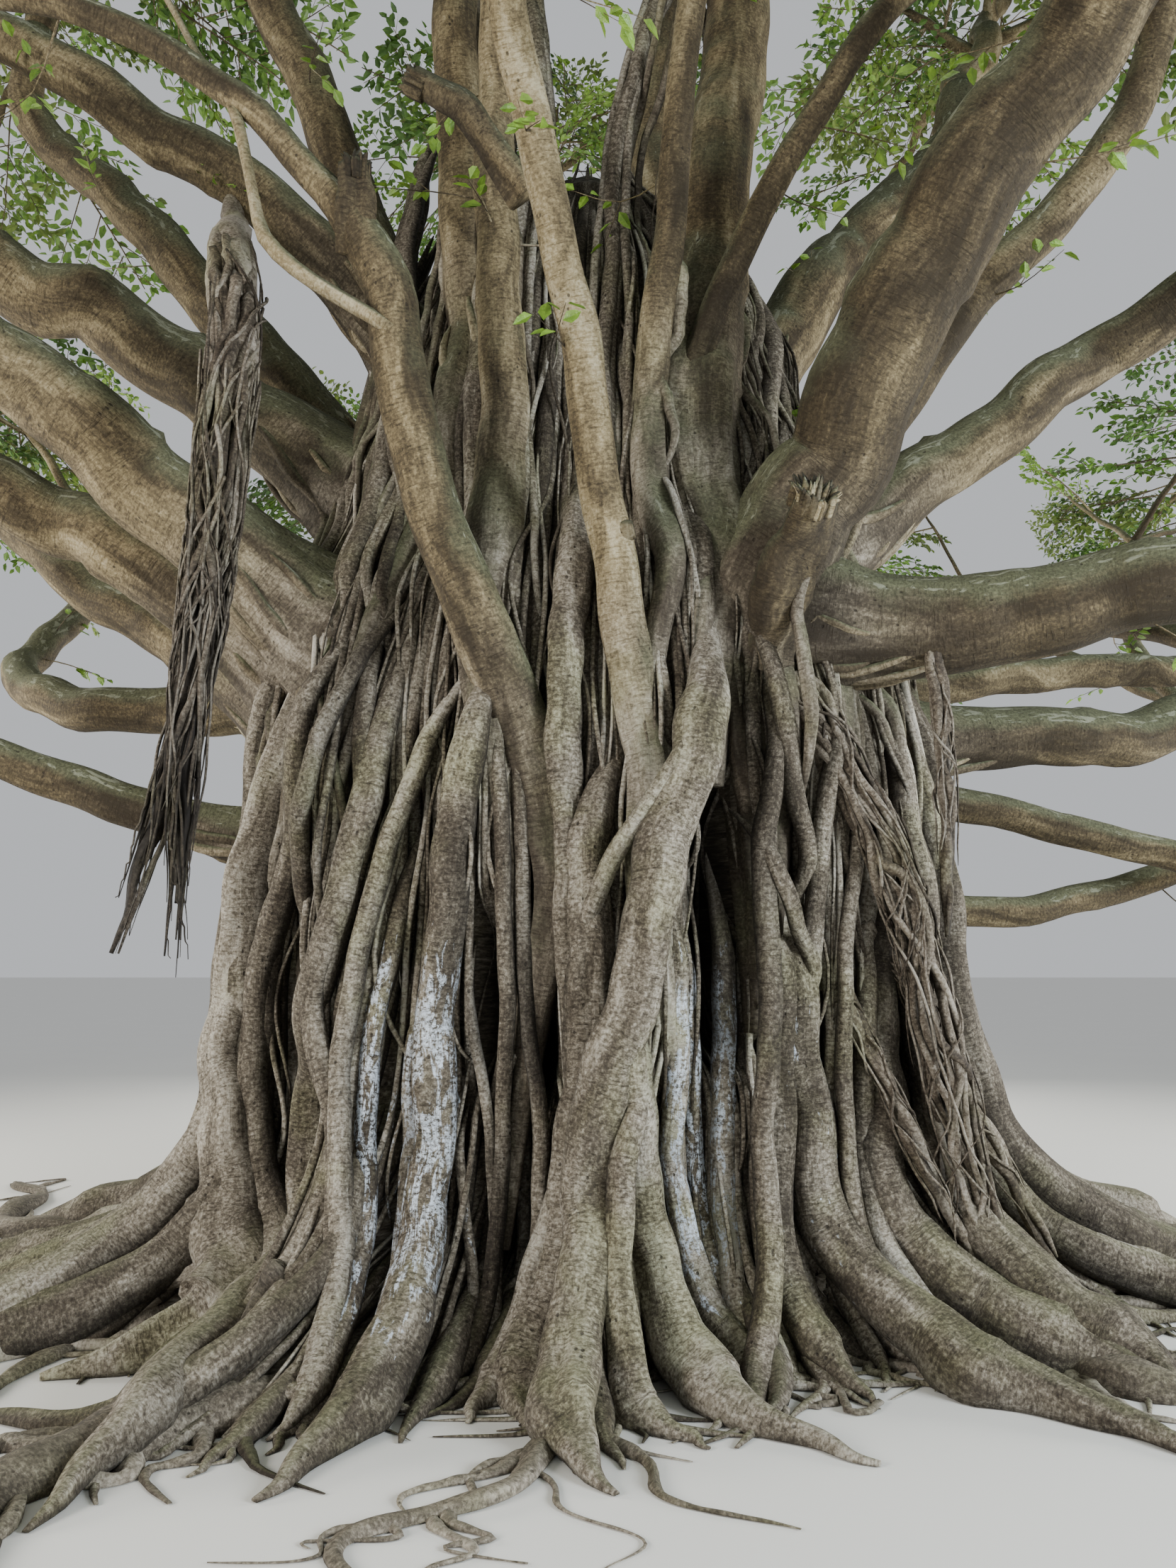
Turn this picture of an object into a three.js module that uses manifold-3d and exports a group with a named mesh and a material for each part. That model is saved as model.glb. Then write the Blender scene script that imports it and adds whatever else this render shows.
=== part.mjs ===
// A banyan tree: a broad fluted trunk of fused roots, boughs that leave it all round, hanging and propping
// aerial roots, surface roots on the ground, and a wide crown in three tiers of foliage masses.
// Millimetres and degrees. +Z is up, the ground is z = 0 and the trunk stands on the origin.
// Azimuths and headings are counted from +X towards +Y, so 270 is the front of the tree.
import * as THREE from "three";
import { mergeVertices } from "three/addons/utils/BufferGeometryUtils.js";
import Module from "manifold-3d";

const wasm = await Module();
wasm.setup();

// Driving dimensions
const GAP = 0.3; // clear space where two pieces meet
const BREAST_HEIGHT = 1600;
const TRUNK_WIDTH = 3640; // across, at breast height
const TRUNK_DEPTH = 3000; // front to back, at breast height
const SHOULDER_HEIGHT = 3300; // where the lowest big boughs leave the trunk
const FORK_HEIGHT = 6100; // where the trunk ends among its leaders
const CROWN_REACH = 7900; // from the trunk's axis to the middle of the lowest tier's masses
const CROWN_HEIGHT = 11400; // of the middle of the topmost masses
const SPRAY_LENGTH = 1950; // one flattened blade stands for a spray of leaves
const SPRAY_WIDTH = 1250;
const SPRAY_THICKNESS = 420;
const GOLDEN_ANGLE = 137.5;

// Mesh fineness
const TRUNK_SIDES = 70;
const TRUNK_RINGS = 10;
const BOUGH_SIDES = 6;
const SIDE_BOUGH_SIDES = 5;
const BOUGH_RINGS = 7;
const ROOT_SIDES = 5;

const UP = new THREE.Vector3(0, 0, 1);
const radians = THREE.MathUtils.degToRad;
const mix = THREE.MathUtils.lerp;

// A repeatable number from 0 to 1 for each whole number n.
function chance(n) {
  const wave = Math.sin(n * 12.9898 + 4.1414) * 43758.5453;
  return wave - Math.floor(wave);
}

// The unit vector with this heading, climbing at this angle.
function direction(heading, climb) {
  const [h, c] = [radians(heading), radians(climb)];
  return new THREE.Vector3(Math.cos(c) * Math.cos(h), Math.cos(c) * Math.sin(h), Math.sin(c));
}

function polar(azimuth, distance, height) {
  return direction(azimuth, 0).multiplyScalar(distance).setZ(height);
}

// The smallest turn from one azimuth to another, from -180 to 180.
function turnBetween(from, to) {
  return ((((to - from) % 360) + 540) % 360) - 180;
}

// Trunk
// Half-width and half-depth of the trunk's plan, as shares of those at breast height.
const TRUNK_PROFILE = [
  { height: 0, share: 1.02 },
  { height: 700, share: 0.97 },
  { height: BREAST_HEIGHT, share: 1 },
  { height: 2600, share: 0.99 },
  { height: SHOULDER_HEIGHT, share: 0.94 },
  { height: 4000, share: 0.78 },
  { height: 5000, share: 0.66 },
  { height: FORK_HEIGHT, share: 0.58 },
];

// The fused roots that stand out of the trunk as legs. Each one's azimuth turns from its foot to the shoulder,
// its foot reaches out over the ground, and its ridge stands proud all the way up.
const LEGS = [
  { foot: 270, top: 287, width: 9, reach: 380, ridge: 150 },
  { foot: 249, top: 253, width: 8, reach: 230, ridge: 80 },
  { foot: 238, top: 222, width: 11, reach: 950, ridge: 170 },
  { foot: 206, top: 204, width: 10, reach: 900, ridge: 90 },
  { foot: 188, top: 192, width: 9, reach: 620, ridge: 90 },
  { foot: 162, top: 170, width: 11, reach: 1050, ridge: 110 },
  { foot: 138, top: 144, width: 10, reach: 620, ridge: 90 },
  { foot: 112, top: 110, width: 11, reach: 800, ridge: 120 },
  { foot: 86, top: 88, width: 9, reach: 560, ridge: 80 },
  { foot: 62, top: 66, width: 11, reach: 900, ridge: 130 },
  { foot: 36, top: 40, width: 9, reach: 640, ridge: 90 },
  { foot: 12, top: 16, width: 12, reach: 1350, ridge: 90 },
  { foot: 349, top: 352, width: 11, reach: 1150, ridge: 100 },
  { foot: 327, top: 330, width: 9, reach: 700, ridge: 90 },
  { foot: 312, top: 314, width: 8, reach: 180, ridge: 110 },
  { foot: 295, top: 301, width: 7, reach: 240, ridge: 110 },
];
const FLARE_HEIGHT = 520; // over which a leg's foot falls back to the trunk

function trunkShare(height) {
  const i = Math.max(1, TRUNK_PROFILE.findIndex((p) => p.height >= height));
  const [low, high] = [TRUNK_PROFILE[i - 1], TRUNK_PROFILE[i]];
  const t = (height - low.height) / (high.height - low.height);
  return mix(low.share, high.share, t * t * (3 - 2 * t));
}

// How far the trunk's skin is from its axis: an ellipse, pinched and swollen with height, plus its legs.
function trunkRadius(azimuth, height) {
  const share = trunkShare(Math.min(height, FORK_HEIGHT));
  const a = radians(azimuth);
  const plan = 1 / Math.hypot(Math.cos(a) / (TRUNK_WIDTH / 2), Math.sin(a) / (TRUNK_DEPTH / 2));
  let radius = plan * share - 60;
  for (const leg of LEGS) {
    const rise = Math.min(1, height / SHOULDER_HEIGHT);
    const middle = leg.foot + turnBetween(leg.foot, leg.top) * rise;
    const off = turnBetween(middle, azimuth) / leg.width;
    const flare = leg.reach * Math.exp(-height / FLARE_HEIGHT);
    radius += (flare * Math.exp(-off * off * 1.5) + leg.ridge * share * Math.exp(-off * off * 2.5));
  }
  return radius;
}

// A closed mesh as a manifold-3d solid.
function solidOf(geometry) {
  const bare = geometry.clone();
  bare.deleteAttribute("normal");
  bare.deleteAttribute("uv");
  const merged = mergeVertices(bare, 1e-3);
  return new wasm.Manifold(
    new wasm.Mesh({
      numProp: 3,
      vertProperties: new Float32Array(merged.attributes.position.array),
      triVerts: new Uint32Array(merged.index.array),
    }),
  );
}

function geometryOf(solid) {
  const mesh = solid.getMesh();
  const positions = new Float32Array(mesh.numVert * 3);
  for (let i = 0; i < mesh.numVert; i++) {
    const at = i * mesh.numProp;
    positions.set(mesh.vertProperties.subarray(at, at + 3), i * 3);
  }
  const geometry = new THREE.BufferGeometry();
  geometry.setAttribute("position", new THREE.BufferAttribute(positions, 3));
  geometry.setIndex(new THREE.BufferAttribute(mesh.triVerts, 1));
  geometry.computeVertexNormals();
  return geometry;
}

function largestBody(solid) {
  const bodies = solid.decompose();
  return bodies.reduce((best, body) => (body.volume() > best.volume() ? body : best));
}

// A cylinder's vertices carried to new places: place(angle, level, share) gives the point for an angle in
// degrees, a level from 0 at the foot to 1 at the top, and a share of the radius that is 0 at a cap's middle.
function carriedCylinder(sides, rings, place) {
  const geometry = new THREE.CylinderGeometry(1, 1, 1, sides, rings);
  const position = geometry.attributes.position;
  for (let i = 0; i < position.count; i++) {
    const [x, y, z] = [position.getX(i), position.getY(i), position.getZ(i)];
    const angle = THREE.MathUtils.radToDeg(Math.atan2(-z, x));
    const point = place(angle, y + 0.5, Math.hypot(x, z));
    position.setXYZ(i, point.x, point.y, point.z);
  }
  return geometry;
}

// The trunk, or with grow above 0 a slightly larger one that cuts its neighbours clear of it.
function trunkSolid(grow = 0) {
  const place = (angle, level, share) => {
    const height = FORK_HEIGHT * level ** 1.25;
    const dome = level === 1 && share < 0.5 ? 160 : 0;
    const radius = share * (trunkRadius(angle, height) + grow);
    return polar(angle, radius, height + dome + (level === 1 ? grow : 0));
  };
  return solidOf(carriedCylinder(TRUNK_SIDES, TRUNK_RINGS, place));
}

// A limb that tapers along a curve. girth(t) is its radius at a share t of its length.
function limbSolid(curve, girth, sides, rings, grow = 0) {
  const points = curve.getSpacedPoints(rings);
  const frames = curve.computeFrenetFrames(rings);
  const place = (angle, level, share) => {
    const i = Math.round(level * rings);
    const radius = share * (girth(i / rings) + grow);
    const across = frames.normals[i].clone().multiplyScalar(Math.cos(radians(angle)) * radius);
    const over = frames.binormals[i].clone().multiplyScalar(Math.sin(radians(angle)) * radius);
    const past = frames.tangents[i].clone().multiplyScalar(level === 1 ? grow : level === 0 ? -grow : 0);
    return points[i].clone().add(across).add(over).add(past);
  };
  const solid = solidOf(carriedCylinder(sides, rings, place));
  if (solid.volume() > 0) return solid;
  const mirrored = (angle, level, share) => place(-angle, level, share);
  return solidOf(carriedCylinder(sides, rings, mirrored));
}

// Crown
// Three tiers of masses. Each mass is an ellipsoid of space: through is its half-size along the radius from
// the trunk, across is its half-size round the trunk, and deep is its half-height.
const TIERS = [
  { name: "low", count: 9, first: 350, distance: CROWN_REACH, height: 6300, through: 3300, across: 3300, deep: 2300 },
  { name: "mid", count: 6, first: 335, distance: 5000, height: 9100, through: 2900, across: 3000, deep: 2200 },
  { name: "top", count: 3, first: 60, distance: 1750, height: CROWN_HEIGHT, through: 2500, across: 2700, deep: 1850 },
];

const masses = TIERS.flatMap((tier, t) =>
  Array.from({ length: tier.count }, (_, i) => {
    const azimuth = (tier.first + (360 / tier.count) * i) % 360;
    const seed = 100 * (t + 1) + i;
    const distance = tier.distance * (0.96 + 0.1 * chance(seed + 0.25));
    const height = tier.height * (0.96 + 0.08 * chance(seed + 0.5));
    return {
      name: "foliage_" + tier.name + "_" + (i + 1),
      seed,
      azimuth,
      centre: polar(azimuth, distance, height),
      half: new THREE.Vector3(tier.through, tier.across, tier.deep),
    };
  }),
);
const massNamed = (name) => masses.find((mass) => mass.name === "foliage_" + name);

// How far out of a mass's middle a point lies: 0 there and 1 on the ellipsoid's skin.
function shareOf(mass, point) {
  const off = point.clone().sub(mass.centre).applyAxisAngle(UP, -radians(mass.azimuth));
  return off.divide(mass.half).length();
}

const BORDER = 0.05; // clear band between two masses, as a share

function insideSpace(mass, point) {
  const own = shareOf(mass, point);
  return own < 1 && masses.every((other) => other === mass || shareOf(other, point) > own + BORDER);
}

// Boughs
// Each one leaves the trunk at an azimuth and height with a heading and climb, and keeps to them over its run,
// while its heading changes by turn and its climb by rise. Then it curves into its mass.
// A main bough carries the mass's stem. A side bough ends in the same space, off to one side by aside degrees.
const BOUGHS = [
  { name: "bough_left_front", azimuth: 213, height: 3200, heading: 202, climb: 36, run: 2000, girth: 245, into: "low_7" },
  { name: "bough_left", azimuth: 198, height: 3140, heading: 190, climb: 34, rise: -8, run: 1700, girth: 225, into: "low_6" },
  { name: "bough_left_back", azimuth: 175, height: 2960, heading: 167, climb: 33, turn: -5, run: 2100, girth: 190, into: "low_5" },
  { name: "bough_left_high", azimuth: 188, height: 4180, heading: 182, climb: 40, turn: 12, rise: -16, run: 2500, girth: 250, into: "mid_5" },
  { name: "bough_left_back_high", azimuth: 166, height: 4300, heading: 167, climb: 53, rise: -8, run: 4300, girth: 215, into: "mid_4" },
  { name: "leader_left", azimuth: 232, height: 4500, heading: 225, climb: 86, run: 2600, girth: 150, into: "top_2" },
  { name: "bough_right_front", azimuth: 306, height: 3300, heading: 325, climb: 60, turn: -9, rise: -12, run: 2700, girth: 280, into: "low_9" },
  { name: "bough_right", azimuth: 317, height: 3260, heading: 342, climb: -12, turn: 3, rise: 28, run: 1700, girth: 235, into: "low_1" },
  { name: "bough_right_arched", azimuth: 318, height: 3480, heading: 358, climb: 66, turn: -10, rise: -24, run: 2400, girth: 140, into: "mid_1" },
  { name: "bough_right_level", azimuth: 2, height: 2860, heading: 6, climb: 3, run: 1700, girth: 190, into: "low_2" },
  { name: "bough_right_back", azimuth: 32, height: 3300, heading: 8, climb: 6, run: 3000, girth: 130, into: "low_3" },
  { name: "bough_back_right", azimuth: 30, height: 4750, heading: 34, climb: 66, turn: -14, rise: -24, run: 3400, girth: 285, into: "mid_2" },
  { name: "bough_back_high", azimuth: 90, height: 4500, heading: 92, climb: 52, run: 2200, girth: 220, into: "mid_3" },
  { name: "bough_back", azimuth: 108, height: 3200, heading: 108, climb: 30, run: 1800, girth: 230, into: "low_4" },
  { name: "bough_front", azimuth: 280, height: 2400, heading: 222, climb: 83, turn: 20, rise: -20, run: 3000, girth: 105, into: "low_8" },
  { name: "bough_front_upright", azimuth: 251, height: 3530, heading: 228, climb: 88, run: 2700, girth: 125, into: "mid_6" },
  { name: "leader_right", azimuth: 300, height: 4400, heading: 44, climb: 80, run: 2500, girth: 235, into: "top_3" },
  { name: "leader_back", azimuth: 70, height: 5200, heading: 60, climb: 80, run: 1500, girth: 240, into: "top_1" },
  { name: "side_bough_front_left", azimuth: 263, height: 2420, heading: 209, climb: 58, rise: 21, run: 2500, girth: 135, into: "low_7", aside: 62 },
  { name: "side_bough_left_low", azimuth: 192, height: 2240, heading: 180, climb: 12, turn: 11, rise: 7, run: 1300, girth: 120, into: "low_6", aside: -40 },
  { name: "side_bough_left_level", azimuth: 162, height: 3120, heading: 168, climb: 4, run: 1900, girth: 165, into: "low_5", aside: 40 },
  { name: "side_bough_left_steep", azimuth: 200, height: 5000, heading: 200, climb: 48, turn: -10, rise: -24, run: 2300, girth: 178, into: "mid_5", aside: 45 },
  { name: "side_bough_left_upright", azimuth: 196, height: 5000, heading: 180, climb: 72, rise: -6, run: 2600, girth: 175, into: "top_2", aside: 60 },
  { name: "side_bough_right_high", azimuth: 347, height: 3850, heading: 9, climb: 37, run: 2300, girth: 200, into: "low_1", aside: 45 },
  { name: "side_bough_right_low", azimuth: 29, height: 2820, heading: 0, climb: -13, run: 2800, girth: 115, into: "low_2", aside: -45 },
  { name: "side_bough_right_drooping", azimuth: 36, height: 2080, heading: 8, climb: -14, rise: 36, run: 2900, girth: 108, into: "low_3", aside: 40 },
  { name: "side_bough_front_upright", azimuth: 284, height: 3960, heading: 307, climb: 80, run: 2300, girth: 90, into: "top_3", aside: 40 },
  { name: "side_bough_front_thin", azimuth: 293, height: 4230, heading: 322, climb: 68, turn: 12, rise: -20, run: 2200, girth: 82, into: "mid_1", aside: -50 },
];
const RUN_STEPS = 4;
const ENTRY = 0.62; // how far out of its mass's middle a main bough ends, as a share
const SIDE_ENTRY = 0.72;
const FOOT_DEPTH = 420; // of a bough's foot inside the trunk before it is cut clear

// Where a bough ends, on its mass's near side and below its middle, turned aside from the straight way.
function entryPoint(mass, from, aside = 0) {
  const out = from.clone().sub(mass.centre);
  out.setZ(Math.min(0, out.z) * 0.5).applyAxisAngle(UP, -radians(mass.azimuth)).divide(mass.half).normalize();
  out.applyAxisAngle(UP, radians(aside)).multiplyScalar(aside ? SIDE_ENTRY : ENTRY).multiply(mass.half);
  return out.applyAxisAngle(UP, radians(mass.azimuth)).add(mass.centre);
}

// The curve of a bough, from inside the trunk, along its run, to where it enters its mass.
function boughCurve(bough) {
  const { azimuth, height, heading, climb, turn = 0, rise = 0, run } = bough;
  const mass = massNamed(bough.into);
  const at = polar(azimuth, trunkRadius(azimuth, height) - 120, height);
  const points = [at.clone().addScaledVector(direction(heading, climb), -FOOT_DEPTH), at.clone()];
  for (let i = 0; i < RUN_STEPS; i++) {
    const t = (i + 0.5) / RUN_STEPS;
    at.addScaledVector(direction(heading + turn * t, climb + rise * t), run / RUN_STEPS);
    points.push(at.clone());
  }
  const end = entryPoint(mass, at, bough.aside);
  const span = end.distanceTo(at);
  const arrival = mass.centre.clone().sub(end);
  arrival.z += 0.4 * mass.half.z;
  const leave = at.clone().addScaledVector(direction(heading + turn, climb + rise), 0.35 * span);
  const arrive = end.clone().addScaledVector(arrival.normalize(), -0.3 * span);
  points.push(...new THREE.CubicBezierCurve3(at, leave, arrive, end).getPoints(4).slice(1));
  return new THREE.CatmullRomCurve3(points);
}

const TIP_SHARE = 0.5; // of a bough's girth, where it ends

for (const bough of BOUGHS) {
  bough.curve = boughCurve(bough);
  bough.radius = (t) => bough.girth * (1 - (1 - TIP_SHARE) * t) * (1 + 0.25 * Math.exp(-t * 14));
  bough.points = bough.curve.getSpacedPoints(16);
}

// Whether a point keeps this far from every bough's bark.
function clearOfBoughs(point, room) {
  return BOUGHS.every((bough) =>
    bough.points.every((p, i) => {
      const next = bough.points[Math.min(i + 1, bough.points.length - 1)];
      const near = new THREE.Line3(p, next).closestPointToPoint(point, true, new THREE.Vector3());
      return near.distanceTo(point) > bough.radius(i / 16) + room;
    }),
  );
}

// Foliage
const TWIG_SIDES = 3;
const BRANCHES = 5; // that leave a mass's stem
const SPRAYS = 4; // on each branch, the last one at its end
const BRANCH_LEAN = 50; // the least angle between the stem and a branch
const SPRAY_LEAN = 58; // between a branch and the sprays along it
const SPRAY_ROLL = 60; // the most that a spray is turned about its own length
const BARK_ROOM = 60; // between a spray and the nearest bough

// The distance a point can travel along a direction before it leaves the mass's space.
function roomAhead(mass, from, along) {
  const step = 150;
  let travelled = 0;
  while (travelled < 6000 && insideSpace(mass, from.clone().addScaledVector(along, travelled + step))) {
    travelled += step;
  }
  return travelled;
}

// A direction leaned away from another by an angle, and rolled about it.
function leaned(along, lean, roll) {
  const side = new THREE.Vector3(0.31, 0.17, 0.93).cross(along).normalize();
  side.applyAxisAngle(along, radians(roll));
  return along.clone().applyAxisAngle(side, radians(lean)).normalize();
}

function twigSolid(from, to, thick, thin) {
  const along = to.clone().sub(from);
  const geometry = new THREE.CylinderGeometry(thin, thick, along.length(), TWIG_SIDES, 1);
  geometry.translate(0, along.length() / 2, 0);
  const turn = new THREE.Quaternion().setFromUnitVectors(new THREE.Vector3(0, 1, 0), along.normalize());
  return solidOf(geometry.applyQuaternion(turn).translate(from.x, from.y, from.z));
}

// A spray of leaves: a flattened eight-faced blade that grows from a point along a direction. With no roll it
// lies level across that direction.
function sprayGeometry(from, along, roll, size) {
  const length = SPRAY_LENGTH * size;
  const geometry = new THREE.OctahedronGeometry(0.5);
  geometry.scale(length, SPRAY_WIDTH * size, SPRAY_THICKNESS * size).translate(length / 2, 0, 0);
  const sideways = new THREE.Vector3().crossVectors(UP, along).normalize().applyAxisAngle(along, radians(roll));
  const over = new THREE.Vector3().crossVectors(along, sideways);
  geometry.applyMatrix4(new THREE.Matrix4().makeBasis(along, sideways, over));
  return geometry.translate(from.x, from.y, from.z);
}

function keepsClear(mass, geometry) {
  const position = geometry.attributes.position;
  const corners = Array.from({ length: position.count }, (_, i) => new THREE.Vector3().fromBufferAttribute(position, i));
  return corners.every((p) => insideSpace(mass, p) && clearOfBoughs(p, BARK_ROOM));
}

// The largest size, of a few tries, at which a spray stays in its mass's space and clear of the boughs.
function fittedSpray(mass, from, along, roll, size) {
  for (const share of [1, 0.85, 0.7]) {
    const geometry = sprayGeometry(from, along, roll, size * share);
    if (keepsClear(mass, geometry)) return solidOf(geometry);
  }
  return null;
}

// The twigs and sprays of one mass. A stem goes on from the bough's tip, branches leave it at the golden
// angle, and sprays leave each branch to its left and right in turn, the last one going on from its end.
function massSolid(mass) {
  const bough = BOUGHS.find((b) => massNamed(b.into) === mass && !b.aside);
  const along = bough.curve.getTangent(1);
  const tip = bough.curve.getPoint(1).addScaledVector(along, GAP);
  const solids = [];
  const stemLength = 0.6 * roomAhead(mass, tip, along);
  const stemEnd = tip.clone().addScaledVector(along, stemLength);
  const stemGirth = bough.girth * TIP_SHARE;
  solids.push(twigSolid(tip, stemEnd, stemGirth, stemGirth * 0.5));
  for (let b = 0; b < BRANCHES; b++) {
    const seed = mass.seed * 50 + b;
    const from = tip.clone().lerp(stemEnd, 0.25 + (0.7 * (b + 1)) / BRANCHES);
    const lean = b === BRANCHES - 1 ? 12 : BRANCH_LEAN + 35 * chance(seed + 0.1);
    const way = leaned(along, lean, mass.seed * 31 + b * GOLDEN_ANGLE);
    const length = 0.55 * roomAhead(mass, from, way);
    const to = from.clone().addScaledVector(way, length);
    const sprays = [];
    for (let s = 0; s < SPRAYS; s++) {
      const spraySeed = seed * 10 + s;
      const last = s === SPRAYS - 1;
      const root = from.clone().lerp(to, last ? 0.95 : 0.3 + (0.66 * (s + 1)) / SPRAYS);
      const sprayWay = leaned(way, last ? 6 : SPRAY_LEAN, 90 + s * 180 + 50 * chance(spraySeed));
      sprayWay.z = sprayWay.z * 0.6 - 0.1;
      const roll = SPRAY_ROLL * (2 * chance(spraySeed + 0.6) - 1);
      const spray = fittedSpray(mass, root, sprayWay.normalize(), roll, 0.85 + 0.3 * chance(spraySeed + 0.3));
      if (spray) sprays.push(spray);
    }
    if (sprays.length) solids.push(twigSolid(from, to, stemGirth * 0.45, stemGirth * 0.2), ...sprays);
  }
  return largestBody(wasm.Manifold.union(solids));
}

// Aerial roots
// Each comes down from a bough or from the trunk's shoulder through a bend to its foot. A hanging root's foot
// is a free tip above the ground. A prop root's foot stands on the trunk's flare.
const AERIAL_ROOTS = [
  {
    name: "aerial_root_left",
    top: { azimuth: 207, distance: 2130, height: 5640 },
    bend: { azimuth: 229, distance: 2370, height: 4250 },
    foot: { azimuth: 226, distance: 2520, height: 1560 },
    thick: 175,
    thin: 70,
  },
  {
    name: "aerial_root_right",
    top: { azimuth: 321, distance: 2060, height: 3100 },
    bend: { azimuth: 322, distance: 2080, height: 2400 },
    foot: { azimuth: 322, distance: 2060, height: 1720 },
    thick: 58,
    thin: 42,
  },
  {
    name: "prop_root_twisted",
    top: { azimuth: 309, distance: 1560, height: 2950 },
    bend: { azimuth: 317, distance: 1910, height: 1950 },
    foot: { azimuth: 327, distance: 2080, height: 220 },
    thick: 95,
    thin: 62,
  },
  {
    name: "prop_root_straight",
    top: { azimuth: 312, distance: 1620, height: 1620 },
    bend: { azimuth: 318, distance: 1900, height: 850 },
    foot: { azimuth: 325, distance: 2120, height: 200 },
    thick: 52,
    thin: 44,
  },
  {
    name: "prop_root_outer",
    top: { azimuth: 319, distance: 1700, height: 1800 },
    bend: { azimuth: 330, distance: 2010, height: 990 },
    foot: { azimuth: 338, distance: 2330, height: 250 },
    thick: 58,
    thin: 48,
  },
];

function aerialRoot({ top, bend, foot, thick, thin }) {
  const points = [top, bend, foot].map(({ azimuth, distance, height }) => polar(azimuth, distance, height));
  const girth = (t) => thin + (thick - thin) * Math.sin(Math.PI * Math.min(1, 0.12 + t * 0.95)) ** 0.8;
  return { curve: new THREE.CatmullRomCurve3(points), girth };
}

// Surface roots
// Each leaves a leg's foot and snakes out over the ground, thinning to its end.
const SURFACE_ROOTS = [
  { name: "surface_root_front", azimuth: 266, length: 1500, girth: 120, sway: 8 },
  { name: "surface_root_front_left", azimuth: 240, length: 1900, girth: 190, sway: -12 },
  { name: "surface_root_left", azimuth: 207, length: 1900, girth: 160, sway: 10 },
  { name: "surface_root_left_back", azimuth: 162, length: 2100, girth: 170, sway: 14 },
  { name: "surface_root_back", azimuth: 112, length: 2000, girth: 160, sway: -12 },
  { name: "surface_root_back_right", azimuth: 62, length: 2100, girth: 170, sway: 12 },
  { name: "surface_root_right_back", azimuth: 9, length: 2200, girth: 180, sway: -10 },
  { name: "surface_root_right_front", azimuth: 324, length: 1900, girth: 140, sway: -12 },
];

function surfaceRoot(root) {
  const inner = trunkRadius(root.azimuth, 60) - 500;
  const points = Array.from({ length: 7 }, (_, i) => {
    const t = i / 6;
    const azimuth = root.azimuth + root.sway * Math.sin(t * 5.2) * t;
    return polar(azimuth, inner + (root.length + 500) * t, root.girth * 0.25 * (1 - t));
  });
  return { curve: new THREE.CatmullRomCurve3(points), girth: (t) => root.girth * (1 - 0.68 * t) };
}

// Everything below the ground is cut away, so that each foot is flat at z = 0.
function cutAtGround(solid) {
  return solid.trimByPlane([0, 0, 1], 0);
}

// Materials
const bark = new THREE.MeshStandardMaterial({ color: 0x857a6c, roughness: 0.85, metalness: 0 });
const boughBark = new THREE.MeshStandardMaterial({ color: 0x7d6a52, roughness: 0.8, metalness: 0 });
const rootBark = new THREE.MeshStandardMaterial({ color: 0x6f665c, roughness: 0.9, metalness: 0 });
const leaf = new THREE.MeshStandardMaterial({ color: 0x4f7a2a, roughness: 0.45, metalness: 0 });

const tree = new THREE.Group();
const placed = []; // grown copies of the rigid pieces so far, which cut the next ones clear

function addPiece(name, solid, material) {
  const mesh = new THREE.Mesh(geometryOf(solid), material);
  mesh.name = name;
  tree.add(mesh);
}

function touching(a, b) {
  const [p, q] = [a.boundingBox(), b.boundingBox()];
  return [0, 1, 2].every((i) => p.min[i] <= q.max[i] && q.min[i] <= p.max[i]);
}

function addLimb(name, { curve, girth }, sides, rings, material, onGround = false) {
  let solid = limbSolid(curve, girth, sides, rings);
  let grown = limbSolid(curve, girth, sides, rings, GAP);
  if (onGround) solid = cutAtGround(solid);
  for (const cutter of placed) {
    if (touching(solid, cutter)) solid = solid.subtract(cutter);
  }
  placed.push(grown);
  addPiece(name, largestBody(solid), material);
}

addPiece("trunk", trunkSolid(), bark);
placed.push(trunkSolid(GAP));
for (const bough of BOUGHS) {
  const sides = bough.aside ? SIDE_BOUGH_SIDES : BOUGH_SIDES;
  addLimb(bough.name, { curve: bough.curve, girth: bough.radius }, sides, BOUGH_RINGS, boughBark);
}
for (const root of AERIAL_ROOTS) addLimb(root.name, aerialRoot(root), ROOT_SIDES, 6, rootBark);
for (const root of SURFACE_ROOTS) addLimb(root.name, surfaceRoot(root), ROOT_SIDES, 8, rootBark, true);
for (const mass of masses) addPiece(mass.name, massSolid(mass), leaf);

export default tree;
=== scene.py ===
"""The looks of a banyan tree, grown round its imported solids.

Metres and degrees. +Z is up, the ground is z = 0 and the trunk stands on the origin. Azimuths and headings
are counted from +X towards +Y, so 270 is the front of the tree, which the camera faces.
"""

import math
from functools import partial

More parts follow.
